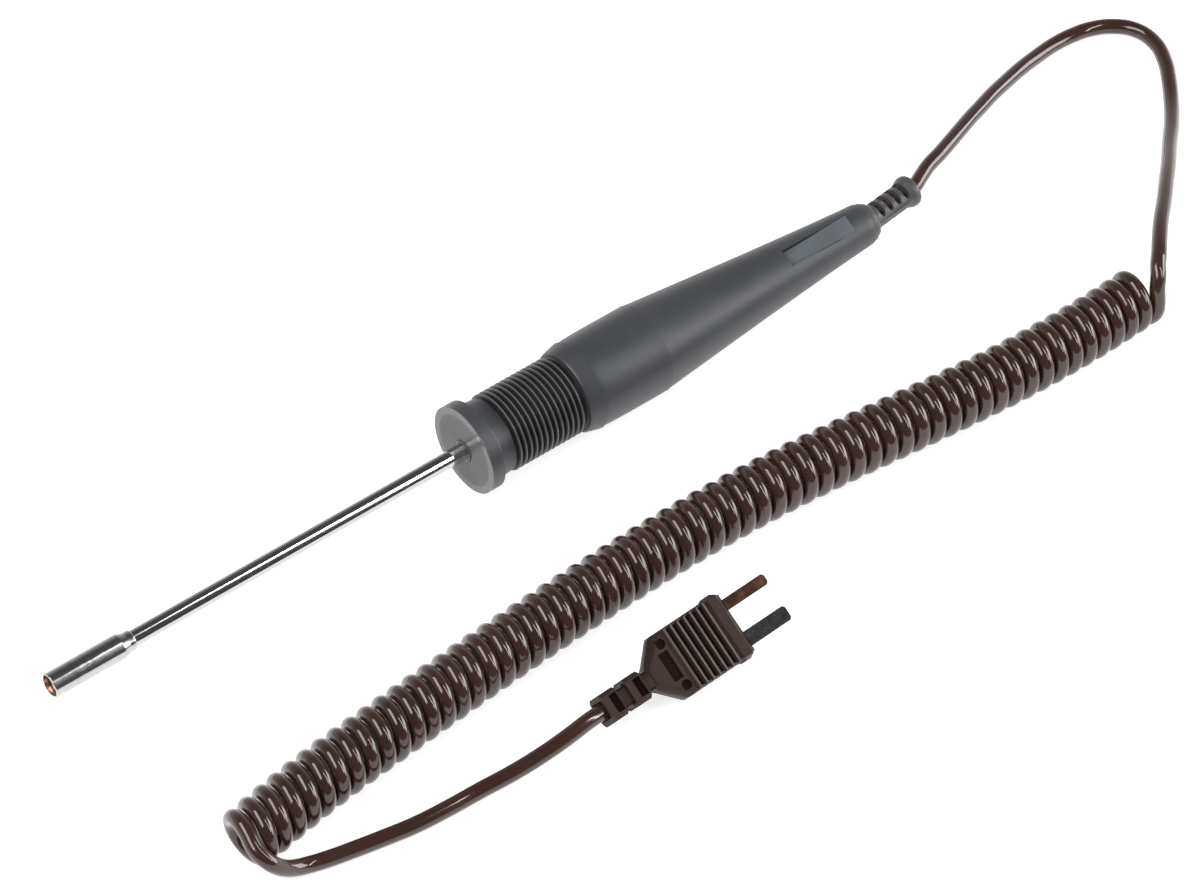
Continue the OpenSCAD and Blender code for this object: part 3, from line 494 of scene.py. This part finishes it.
# %% Cutting
def cut_out(shape, tool):
    """The shape with the tool's volume taken out of it by a Boolean modifier"""
    def loose_object(part):
        mesh = bpy.data.meshes.new("cutting")
        part.to_mesh(mesh)
        part.free()
        thing = bpy.data.objects.new("cutting", mesh)
        bpy.context.scene.collection.objects.link(thing)
        return thing

    whole, cutter = loose_object(shape), loose_object(tool)
    step = whole.modifiers.new("cut", "BOOLEAN")
    step.operation, step.solver, step.object = "DIFFERENCE", "EXACT", cutter
    evaluated = whole.evaluated_get(bpy.context.evaluated_depsgraph_get())
    result = bmesh.new()
    result.from_mesh(evaluated.to_mesh())
    evaluated.to_mesh_clear()
    for thing in (whole, cutter):
        bpy.data.objects.remove(thing)
    bmesh.ops.remove_doubles(result, verts=result.verts, dist=SAME_POINT)
    return result


# %% Handle, rear half
CAVITY_END, REAR_BORE_R = HANDLE_END - 13, 3.25
TAPER_STEPS, HOLLOW_STEPS = 40, 6
REAR_S, LAP_GAP = JOINT_S + 0.02, 0.05
taper_s = [JOINT_S + (TAPER_END - JOINT_S) * i / TAPER_STEPS for i in range(1, TAPER_STEPS + 1)]
hollow_s = [JOINT_S + (CAVITY_END - JOINT_S) * i / HOLLOW_STEPS for i in range(HOLLOW_STEPS, -1, -1)]
rear_outline = (
    [(REAR_S - JOINT_LAP, BODY_R - WALL), (REAR_S - JOINT_LAP, LAP_R - LAP_GAP), (REAR_S, LAP_R - LAP_GAP),
     (REAR_S, taper_r(JOINT_S) - 0.03), (REAR_S + 0.03, taper_r(JOINT_S))]
    + [(s, taper_r(s)) for s in taper_s]
    + [(HANDLE_END - 0.08, TAIL_R - 0.08), (HANDLE_END, TAIL_R - 0.3), (HANDLE_END, REAR_BORE_R),
       (CAVITY_END, REAR_BORE_R)]
    + [(s, taper_r(s) - WALL) for s in hollow_s])
pocket = block_shape((LABEL_W + POCKET_GAP, 2 * LABEL_T + 2, LABEL_LEN + POCKET_GAP), (0, 1, 0), label_frame)
finished_piece("tail_half", cut_out(turned_shape(rear_outline), pocket), "probe", "handle_plastic",
               ["handle_rear"])

# %% Label
UNDER_GAP = 0.02
finished_piece(
    "bare_label",
    block_shape((LABEL_W, LABEL_T - UNDER_GAP, LABEL_LEN), (0, (UNDER_GAP - LABEL_T) / 2, 0), label_frame,
                round_mm=0.08),
    "probe", "label", ["label_plate"])

# %% [markdown]
# ## The moulded cord relief, the plug and its blades
#
# These shapes are made of many small cuts, which the engineering model already holds exactly. They are
# not modelled twice: a copy of that mesh is merged into one skin, its flat faces are joined up again, and a
# Bevel modifier rounds the sharp edges. The modifier's hardened normals keep the flat faces flat.


# %% Softened copy
SKIN_GAP = 0.002 * MM
FLAT_WITHIN, SHARP_FROM = 0.5, 38.0


def softened_copy(name, node, body, slot, width_mm, segments=2):
    """A copy of a node's mesh with its edges rounded"""
    shape = bmesh.new()
    shape.from_mesh(frame["nodes"][node].data)
    bmesh.ops.remove_doubles(shape, verts=shape.verts, dist=SKIN_GAP)
    bmesh.ops.dissolve_limit(shape, angle_limit=math.radians(FLAT_WITHIN), verts=shape.verts,
                             edges=shape.edges, use_dissolve_boundaries=False)
    piece = finished_piece(name, shape, body, slot, [node], sharp=SHARP_FROM)
    soften = piece.modifiers.new("soft_edges", "BEVEL")
    soften.width = width_mm * MM
    soften.segments = segments
    soften.limit_method = "ANGLE"
    soften.angle_limit = math.radians(SHARP_FROM)
    soften.harden_normals = True
    return piece


softened_copy("soft_relief", "cable_relief", "probe", "relief_rubber", 0.07)
plug_piece = softened_copy("ribbed_plug", "plug_body", "probe", "plug_plastic", 0.09)
copper_piece = softened_copy("copper_pin", "copper_blade", "probe", "copper", 0.18, segments=3)
constantan_piece = softened_copy("grey_pin", "constantan_blade", "probe", "constantan", 0.18, segments=3)
print("softened copies:", sum("soft_edges" in piece.modifiers for piece, _ in made_pieces))

# %% [markdown]
# ## Shared surface effects
#
# Each effect that more than one finish uses is a shader node group, built once. A group gives out a
# height or a mask, and the material decides what to do with it. Masks could be painted as textures, but
# a mask worked out from the position is as sharp as the mesh and follows its sizes.


# %% Node group helpers
FLOAT, VECTOR = "NodeSocketFloat", "NodeSocketVector"


def new_effect(name, inputs, outputs):
    """An empty shader node group. Inputs are (name, type, value), outputs are (name, type)"""
    effect = bpy.data.node_groups.new(name, "ShaderNodeTree")
    for label, kind, value in inputs:
        socket = effect.interface.new_socket(label, in_out="INPUT", socket_type=kind)
        if value is not None:
            socket.default_value = value
    for label, kind in outputs:
        effect.interface.new_socket(label, in_out="OUTPUT", socket_type=kind)
    return effect, effect.nodes.new("NodeGroupInput"), effect.nodes.new("NodeGroupOutput")


def joined(tree, kind, values=(), **settings):
    """Adds a node. Values are (socket, value or another node's output)"""
    node = tree.nodes.new(kind)
    for key, value in settings.items():
        setattr(node, key, value)
    for socket, value in values:
        if isinstance(value, bpy.types.NodeSocket):
            tree.links.new(value, node.inputs[socket])
        else:
            node.inputs[socket].default_value = value
    return node


def noise(tree, position, scale, detail=3.0, roughness=0.6):
    """The grey value of a noise pattern"""
    return joined(tree, "ShaderNodeTexNoise", [
        ("Vector", position), ("Scale", scale), ("Detail", detail), ("Roughness", roughness)]).outputs["Fac"]


def calculated(tree, operation, first, second=0.0):
    """The result of one Math node"""
    return joined(tree, "ShaderNodeMath", [(0, first), (1, second)], operation=operation).outputs["Value"]


def times(tree, first, second):
    """The product of two values, which for two masks is 1 where both are 1"""
    return calculated(tree, "MULTIPLY", first, second)


def opposite(tree, mask):
    """1 where the mask is 0 and 0 where it is 1"""
    return calculated(tree, "SUBTRACT", 1.0, mask)


print("node helpers ready")

# %% Moulded grain
moulded_grain, group_in, group_out = new_effect(
    "moulded_grain",
    [("Position", VECTOR, None), ("Fineness", FLOAT, 2500.0)],
    [("Height", FLOAT), ("Mottle", FLOAT)])
grain_place = group_in.outputs["Position"]
fine_grain = noise(moulded_grain, grain_place, group_in.outputs["Fineness"])
moulded_grain.links.new(fine_grain, group_out.inputs["Height"])
moulded_grain.links.new(noise(moulded_grain, grain_place, 90.0, 4.0, 0.55), group_out.inputs["Mottle"])
print("effect:", moulded_grain.name)

# %% Fine lines along one direction
drawn_lines, group_in, group_out = new_effect(
    "drawn_lines",
    [("Position", VECTOR, None), ("Stretch", VECTOR, (40.0, 3000.0, 3000.0))],
    [("Height", FLOAT), ("Streaks", FLOAT)])
stretched = joined(drawn_lines, "ShaderNodeVectorMath", [
    (0, group_in.outputs["Position"]), (1, group_in.outputs["Stretch"])],
    operation="MULTIPLY").outputs["Vector"]
drawn_lines.links.new(noise(drawn_lines, stretched, 1.0, 3.0, 0.7), group_out.inputs["Height"])
drawn_lines.links.new(noise(drawn_lines, stretched, 0.15, 2.0, 0.5), group_out.inputs["Streaks"])
print("effect:", drawn_lines.name)

# %% Dust specks
dust_specks, group_in, group_out = new_effect(
    "dust_specks",
    [("Position", VECTOR, None), ("Spacing", FLOAT, 300.0), ("Speck", FLOAT, 0.05)],
    [("Mask", FLOAT)])
cells = joined(dust_specks, "ShaderNodeTexVoronoi", [
    ("Vector", group_in.outputs["Position"]), ("Scale", group_in.outputs["Spacing"])], feature="F1")
speck = calculated(dust_specks, "LESS_THAN", cells.outputs["Distance"], group_in.outputs["Speck"])
dust_specks.links.new(speck, group_out.inputs["Mask"])
print("effect:", dust_specks.name)

# %% Distance from the probe's axis
axis_radius_band, group_in, group_out = new_effect(
    "axis_radius_band",
    [("Position", VECTOR, None), ("Low", FLOAT, 0.0), ("High", FLOAT, 0.001)],
    [("Mask", FLOAT)])
from_axis = joined(axis_radius_band, "ShaderNodeVectorMath", [
    (0, group_in.outputs["Position"]), (1, (0.0, 0.0, AXIS_Z * MM))], operation="SUBTRACT")
across = joined(axis_radius_band, "ShaderNodeVectorMath", [(0, from_axis.outputs["Vector"]), (1, (0.0, 1.0, 1.0))],
                operation="MULTIPLY")
radius = joined(axis_radius_band, "ShaderNodeVectorMath", [(0, across.outputs["Vector"])], operation="LENGTH")
height = joined(axis_radius_band, "ShaderNodeMapRange", [
    ("Value", radius.outputs["Value"]), ("From Min", group_in.outputs["Low"]),
    ("From Max", group_in.outputs["High"])], interpolation_type="SMOOTHSTEP")
axis_radius_band.links.new(height.outputs["Result"], group_out.inputs["Mask"])
print("effect:", axis_radius_band.name)

# %% A stretch along the probe
stretch_mask, group_in, group_out = new_effect(
    "stretch_mask",
    [("Position", VECTOR, None), ("Low", FLOAT, 0.0), ("High", FLOAT, 0.001)],
    [("Mask", FLOAT)])
parts = joined(stretch_mask, "ShaderNodeSeparateXYZ", [("Vector", group_in.outputs["Position"])])
reach = joined(stretch_mask, "ShaderNodeMapRange", [
    ("Value", parts.outputs["X"]), ("From Min", group_in.outputs["Low"]),
    ("From Max", group_in.outputs["High"])])
stretch_mask.links.new(reach.outputs["Result"], group_out.inputs["Mask"])
print("effect:", stretch_mask.name)

# %% [markdown]
# ### Heights on the plug
#
# The ribs' tops get a painted highlight that makes them paler, and the bottoms of the recess, the
# dimples and the relief's slots get painted shade, as they lie in the dark. Both can be told by height, if
# the height is measured from the plug and not from the table: a Mapping node of the Texture kind turns the
# object position into the plug's own frame, where x runs towards the blades, y across and z out of its face.

# %% The plug's own frame
plug_heights, group_in, group_out = new_effect(
    "plug_heights", [("Position", VECTOR, None)], [("Crest", FLOAT), ("Hollow", FLOAT)])
own_frame = joined(plug_heights, "ShaderNodeMapping", [
    ("Vector", group_in.outputs["Position"]), ("Location", tuple(PLUG_AT * MM)),
    ("Rotation", (PLUG_ROLL, 0.0, PLUG_YAW))], vector_type="TEXTURE")
on_plug = joined(plug_heights, "ShaderNodeSeparateXYZ", [("Vector", own_frame.outputs["Vector"])])
off_centre = calculated(plug_heights, "ABSOLUTE", on_plug.outputs["Y"])


def level(start, full):
    """Goes from 0 to 1 as the height on the plug goes from start to full, in millimetres"""
    return joined(plug_heights, "ShaderNodeMapRange", [
        ("Value", on_plug.outputs["Z"]), ("From Min", start * MM), ("From Max", full * MM)]).outputs["Result"]


def in_front_of(x):
    """1 nearer the blades than x"""
    return calculated(plug_heights, "GREATER_THAN", on_plug.outputs["X"], x * MM)


def behind(x):
    """1 nearer the cord than x"""
    return calculated(plug_heights, "LESS_THAN", on_plug.outputs["X"], x * MM)


def beside(half_width):
    """1 within half_width of the middle line"""
    return calculated(plug_heights, "LESS_THAN", off_centre, half_width * MM)


print("the plug's frame is at", tuple(round(c, 1) for c in PLUG_AT), "mm")

# %% Crests and hollows
RIBS_END_X, RELIEF_X, SLOT_HALF_W = -2.7, -21.0, 1.95
RIB_TOP, BODY_FLOOR, SLOT_FLOOR = (3.16, 3.30), (2.80, 2.58), (2.25, 2.02)
RECESS, DIMPLES, GROOVES = (-17.5, 3.15), (-16.4, 5.6), (-13.5, 6.4)
crests = times(plug_heights, level(*RIB_TOP), behind(RIBS_END_X))
recess, dimples, grooves = (
    times(plug_heights, in_front_of(x), beside(half_width)) for x, half_width in (RECESS, DIMPLES, GROOVES))
sunk = calculated(plug_heights, "MAXIMUM", recess, calculated(plug_heights, "MAXIMUM", dimples, grooves))
body_hollow = times(plug_heights, level(*BODY_FLOOR), sunk)
slots = times(plug_heights, behind(RELIEF_X), beside(SLOT_HALF_W))
relief_hollow = times(plug_heights, level(*SLOT_FLOOR), slots)
plug_heights.links.new(crests, group_out.inputs["Crest"])
plug_heights.links.new(calculated(plug_heights, "MAXIMUM", body_hollow, relief_hollow),
                       group_out.inputs["Hollow"])
print("effect:", plug_heights.name)

# %% [markdown]
# ## Finishes
#
# Every finish starts from the Principled shader. Numbers that are the same all over the surface are typed
# into the shader. What varies over the surface comes in through nodes: a colour that drifts a little, a
# roughness that breaks up the highlights, and a bump for the texture.


# %% Finish helpers
def new_finish(name, metallic=0.0, **even):
    """A new material with its Principled shader, and the object position for its patterns"""
    material = bpy.data.materials.new(name)
    material.use_nodes = True
    tree = material.node_tree
    shader = tree.nodes["Principled BSDF"]
    shader.inputs["Metallic"].default_value = metallic
    for socket, value in even.items():
        shader.inputs[socket.replace("_", " ")].default_value = value
    position = tree.nodes.new("ShaderNodeTexCoord").outputs["Object"]
    return material, tree, shader, position


def effect_output(tree, effect, position, output, **values):
    """Places a shared effect in a material and gives one of its outputs"""
    node = tree.nodes.new("ShaderNodeGroup")
    node.node_tree = effect
    tree.links.new(position, node.inputs["Position"])
    for socket, value in values.items():
        node.inputs[socket].default_value = value
    return node.outputs[output]


def colours(tree, mask, *stops):
    """A colour that follows the mask through the stops, each (place, red, green, blue)"""
    ramp = tree.nodes.new("ShaderNodeValToRGB")
    for _ in stops[2:]:
        ramp.color_ramp.elements.new(0.5)
    for element, (place, red, green, blue) in zip(ramp.color_ramp.elements, stops):
        element.position = place
        element.color = (red, green, blue, 1.0)
    tree.links.new(mask, ramp.inputs["Fac"])
    return ramp.outputs["Color"]


def blended(tree, mask, first, second):
    """First where the mask is 0, second where it is 1. Each is a colour or an output"""
    mix = joined(tree, "ShaderNodeMix", [("Factor", mask), (6, first), (7, second)], data_type="RGBA")
    return mix.outputs[2]


def dusted(tree, position, colour, amount, spacing=500.0, speck=0.05, dust=(0.35, 0.33, 0.31, 1.0)):
    """The colour with specks of dust on it, of which the given amount shows"""
    specks = effect_output(tree, dust_specks, position, "Mask", Spacing=spacing, Speck=speck)
    return blended(tree, times(tree, specks, amount), colour, dust)


def value_between(tree, mask, low, high, start=0.3, stop=0.7):
    """A number that runs from low to high as the mask goes from start to stop"""
    return joined(tree, "ShaderNodeMapRange", [
        ("Value", mask), ("From Min", start), ("From Max", stop), ("To Min", low),
        ("To Max", high)]).outputs["Result"]


def bumped(tree, shader, height, strength, depth_mm, under=None):
    """Feeds a height into the shader's normal, on top of another bump if there is one"""
    bump = joined(tree, "ShaderNodeBump", [
        ("Height", height), ("Strength", strength), ("Distance", depth_mm * MM)])
    if under:
        tree.links.new(under, bump.inputs["Normal"])
    tree.links.new(bump.outputs["Normal"], shader.inputs["Normal"])
    return bump.outputs["Normal"]


finishes = {}
print("finish helpers ready")

# %% [markdown]
# ### Handle
#
# The handle is a satin grey moulding. Its grain is finer than a tenth of a millimetre. Fingers polish
# the crests of the rings, which makes them glossier, and their paler colour is a painted highlight, while
# the grooves get painted shade, so crest and groove differ in colour and in gloss: the distance from the
# axis tells them apart. That distance would also pick out the thin end of the rear half, so a second mask,
# the distance along the probe, switches it off behind the rings. The guard's front face came off a
# polished mould face and is much glossier than the rest, and its paler colour is painted light.

# %% Masks on the handle
material, tree, shader, position = new_finish("handle_plastic")


def away_from_axis(low_r, high_r):
    """Goes from 0 to 1 as the radius goes from low_r to high_r, in millimetres"""
    return effect_output(tree, axis_radius_band, position, "Mask", Low=low_r * MM, High=high_r * MM)


def past(start_s, full_s):
    """Goes from 0 to 1 from start_s to full_s behind the guard's face, in millimetres"""
    return effect_output(tree, stretch_mask, position, "Mask", Low=(GUARD_X + start_s) * MM,
                         High=(GUARD_X + full_s) * MM)


past_rings = past(CONE_START - 0.4, CONE_START)
past_neck = past(RING_FIRST - 1.0, RING_FIRST - 0.7)
behind_face = past(0.03, 0.2)
crest = calculated(tree, "MAXIMUM", away_from_axis(ROOT_R + 0.05, RING_R - 0.1), past_rings)
on_rings = times(tree, opposite(tree, past_rings), past_neck)
ring_top = times(tree, away_from_axis(RING_R - 0.15, RING_R), on_rings)
print("masks of:", material.name)

# %% Handle finish
# The first number paints a highlight onto the ring crests; the second makes them glossier.
CREST_HIGHLIGHT, WORN_GLOSS = 0.8, 0.14
LEAST_SHINE, CREST_SHINE = 0.10, 0.42
grain = effect_output(tree, moulded_grain, position, "Height", Fineness=3200.0)
mottle = effect_output(tree, moulded_grain, position, "Mottle")
plain = colours(tree, mottle, (0.3, 0.045, 0.047, 0.052), (0.7, 0.054, 0.056, 0.062))
# The groove colour is painted shade: much darker than the plain moulding.
painted_groove_shade = colours(tree, mottle, (0.3, 0.012, 0.012, 0.013), (0.7, 0.020, 0.020, 0.021))
# The guard face's colour is painted light: paler than the rest of the handle.
painted_face_light = colours(tree, mottle, (0.3, 0.120, 0.119, 0.120), (0.7, 0.140, 0.139, 0.140))
skin = blended(tree, behind_face, painted_face_light, blended(tree, crest, painted_groove_shade, plain))
# The ring crests are lightened towards a pale grey: a painted highlight.
skin = blended(tree, times(tree, ring_top, CREST_HIGHLIGHT), skin, (0.125, 0.125, 0.130, 1.0))
skin = dusted(tree, position, skin, 0.35, spacing=420.0, speck=0.045, dust=(0.30, 0.29, 0.28, 1.0))
tree.links.new(skin, shader.inputs["Base Color"])
shine = calculated(tree, "ADD", times(tree, crest, CREST_SHINE), LEAST_SHINE)
tree.links.new(shine, shader.inputs["Specular IOR Level"])
satin = calculated(tree, "SUBTRACT", value_between(tree, mottle, 0.40, 0.47),
                   times(tree, ring_top, WORN_GLOSS))
face_gloss = times(tree, value_between(tree, mottle, 0.17, 0.21), opposite(tree, behind_face))
tree.links.new(calculated(tree, "ADD", times(tree, satin, behind_face), face_gloss),
               shader.inputs["Roughness"])
bumped(tree, shader, times(tree, grain, behind_face), 0.22, 0.02)
finishes["handle_plastic"] = material
print("finish:", material.name)


# %% [markdown]
# ### Other plastics and rubber
#
# They share one recipe: a colour that drifts over a few millimetres, a gloss that drifts with it, and a
# fine grain. What tells them apart is how glossy and how coarse they are.

# %% Plastics and rubber
def moulded_finish(name, low, high, rough, fineness, strength, depth_mm, dust=0.0):
    """A moulded plastic: slightly uneven colour and gloss over a fine grain, with a little dust"""
    material, tree, shader, position = new_finish(name)
    grain = effect_output(tree, moulded_grain, position, "Height", Fineness=fineness)
    mottle = effect_output(tree, moulded_grain, position, "Mottle")
    colour = colours(tree, mottle, (0.3, *low), (0.7, *high))
    if dust:
        colour = dusted(tree, position, colour, dust)
    tree.links.new(colour, shader.inputs["Base Color"])
    tree.links.new(value_between(tree, mottle, *rough), shader.inputs["Roughness"])
    bumped(tree, shader, grain, strength, depth_mm)
    return material


finishes["relief_rubber"] = moulded_finish(
    "relief_rubber", (0.070, 0.068, 0.069), (0.088, 0.086, 0.087), (0.36, 0.46), 2600.0, 0.3, 0.02,
    dust=0.3)
finishes["label"] = moulded_finish(
    "label", (0.095, 0.110, 0.122), (0.125, 0.140, 0.152), (0.30, 0.40), 2600.0, 0.1, 0.01)
finishes["ceramic"] = moulded_finish(
    "ceramic", (0.020, 0.016, 0.015), (0.030, 0.024, 0.022), (0.45, 0.6), 2600.0, 0.2, 0.02)
finishes["shrink"] = moulded_finish(
    "shrink", (0.012, 0.012, 0.013), (0.020, 0.020, 0.021), (0.35, 0.5), 900.0, 0.2, 0.05)
finishes["core_white"] = moulded_finish(
    "core_white", (0.60, 0.60, 0.57), (0.70, 0.70, 0.67), (0.35, 0.45), 1500.0, 0.1, 0.02)
print("moulded finishes:", len(finishes))

# %% [markdown]
# ### Plug
#
# The plug is a harder, smoother brown. Its masks do the rest: the crests are paler, which is a painted
# highlight, and shinier, and the hollows get painted shade, nearly black, and give back no light, because
# little of it gets in there.

# %% Plug finish
material, tree, shader, position = new_finish("plug_plastic")
grain = effect_output(tree, moulded_grain, position, "Height", Fineness=1500.0)
mottle = effect_output(tree, moulded_grain, position, "Mottle")
crest = effect_output(tree, plug_heights, position, "Crest")
hollow = effect_output(tree, plug_heights, position, "Hollow")
brown = colours(tree, mottle, (0.3, 0.028, 0.0165, 0.0140), (0.7, 0.039, 0.0230, 0.0190))
# The rib crests are painted paler, a painted highlight, and dust specks go over the whole face.
dust_and_crest_highlight = dusted(tree, position, blended(tree, crest, brown, (0.075, 0.056, 0.048, 1.0)), 0.25)
# The hollows are painted nearly black: painted shade.
tree.links.new(blended(tree, times(tree, hollow, 0.65), dust_and_crest_highlight, (0.004, 0.0025, 0.002, 1.0)),
               shader.inputs["Base Color"])
tree.links.new(value_between(tree, mottle, 0.34, 0.44), shader.inputs["Roughness"])
sheen = calculated(tree, "ADD", times(tree, crest, 0.50), 0.14)
tree.links.new(times(tree, sheen, opposite(tree, hollow)), shader.inputs["Specular IOR Level"])
bumped(tree, shader, grain, 0.35, 0.03)
finishes["plug_plastic"] = material
print("finish:", material.name)

# %% [markdown]
# ### Cord jacket
#
# The jacket is a soft, glossy brown plastic, drawn over the cores and then wound and set by heat. Its
# colour is very dark, and nearly all that shows is reflection, so the reflections need life: a slow
# waviness from the winding, too weak to see by itself, and faint scuffs that dull the gloss. A clear coat
# over the rougher jacket gives the thin white streaks along the curls.

# %% Jacket finish
material, tree, shader, position = new_finish("cord_jacket", Coat_Weight=0.45, Coat_Roughness=0.05)
mottle = effect_output(tree, moulded_grain, position, "Mottle")
scuffs = noise(tree, position, 700.0, 5.0, 0.7)
waves = noise(tree, position, 130.0, 1.0, 0.4)
tree.links.new(colours(tree, mottle, (0.3, 0.036, 0.0165, 0.0130), (0.7, 0.050, 0.0230, 0.0175)),
               shader.inputs["Base Color"])
tree.links.new(value_between(tree, scuffs, 0.11, 0.15, 0.35, 0.75), shader.inputs["Roughness"])
slow = bumped(tree, shader, waves, 0.015, 0.10)
bumped(tree, shader, noise(tree, position, 2600.0), 0.01, 0.005, slow)
finishes["cord_jacket"] = material
print("finish:", material.name)


# %% [markdown]
# ### Metals
#
# Bare metal shows how it was made. The stem was drawn, which leaves hairlines along it, and the sleeve was
# turned, which leaves them round it. Handled copper turns brown with redder and pinker patches, and the
# copper-nickel blade is a dull grey with pale specks.

# %% Metals
LINE_DEPTH = 0.01


def metal_finish(name, low, high, rough, stretch, strength):
    """A metal with fine lines along one direction"""
    material, tree, shader, position = new_finish(name, metallic=1.0)
    lines = effect_output(tree, drawn_lines, position, "Height", Stretch=stretch)
    streaks = effect_output(tree, drawn_lines, position, "Streaks", Stretch=stretch)
    tree.links.new(colours(tree, streaks, (0.3, *low), (0.7, *high)), shader.inputs["Base Color"])
    tree.links.new(value_between(tree, streaks, *rough), shader.inputs["Roughness"])
    bumped(tree, shader, lines, strength, LINE_DEPTH)
    return material


ALONG, ROUND = (40.0, 2600.0, 2600.0), (5200.0, 60.0, 60.0)
finishes["steel"] = metal_finish(
    "steel", (0.50, 0.49, 0.48), (0.62, 0.61, 0.60), (0.05, 0.09), ALONG, 0.02)
finishes["brass_part"] = metal_finish(
    "brass_part", (0.50, 0.36, 0.16), (0.60, 0.44, 0.22), (0.25, 0.35), ROUND, 0.15)
turned_steel = metal_finish(
    "turned_steel", (0.47, 0.46, 0.455), (0.58, 0.57, 0.565), (0.15, 0.21), ROUND, 0.04)
bright_copper = metal_finish(
    "bright_copper", (0.64, 0.27, 0.17), (0.76, 0.35, 0.23), (0.30, 0.40), ROUND, 0.06)
print("finishes with fine lines:", ", ".join(
    m.name for m in (finishes["steel"], finishes["brass_part"], turned_steel, bright_copper)))

# %% Tarnished copper
material, tree, shader, position = new_finish("copper", metallic=1.0)
patches = noise(tree, position, 420.0, 5.0, 0.65)
lines = effect_output(tree, drawn_lines, position, "Height", Stretch=ALONG)
tree.links.new(colours(tree, patches, (0.36, 0.030, 0.017, 0.012), (0.52, 0.048, 0.026, 0.018),
                       (0.62, 0.080, 0.032, 0.021), (0.72, 0.17, 0.050, 0.030)),
               shader.inputs["Base Color"])
tree.links.new(value_between(tree, patches, 0.52, 0.36, 0.35, 0.65), shader.inputs["Roughness"])
bumped(tree, shader, calculated(tree, "ADD", lines, patches), 0.25, 0.02)
finishes["copper"] = material
print("finish:", material.name)

# %% Copper-nickel
material, tree, shader, position = new_finish("constantan", metallic=1.0)
patches = noise(tree, position, 500.0, 5.0, 0.65)
dull = colours(tree, patches, (0.35, 0.017, 0.018, 0.0185), (0.65, 0.034, 0.035, 0.036))
speckled = dusted(tree, position, dull, 0.5, spacing=1300.0, speck=0.16, dust=(0.14, 0.14, 0.135, 1.0))
tree.links.new(speckled, shader.inputs["Base Color"])
tree.links.new(value_between(tree, patches, 0.42, 0.55), shader.inputs["Roughness"])
bumped(tree, shader, patches, 0.35, 0.03)
finishes["constantan"] = material
print("finish:", material.name)

# %% [markdown]
# ### Handing out the finishes
#
# Each engineering piece names a material slot, and its finish follows from that. Two pieces share a slot
# with others but look different, because one is turned and not drawn, and the other is rubbed bright where
# it touches things: they get a finish of their own.

# %% Give every piece its finish
slot_of = {part["node"]: part["material_slot"] for part in frame["record"]["subparts"]}
for name, node in frame["nodes"].items():
    node.data.materials.clear()
    node.data.materials.append(finishes[slot_of[name]])
own_finish = {tip_piece.name: turned_steel, disc_piece.name: bright_copper}
for piece, slot in made_pieces + [(cord, "cord_jacket")]:
    piece.data.materials.clear()
    piece.data.materials.append(own_finish.get(piece.name, finishes[slot]))
print("pieces finished:", len(slot_of) + len(made_pieces) + 1)
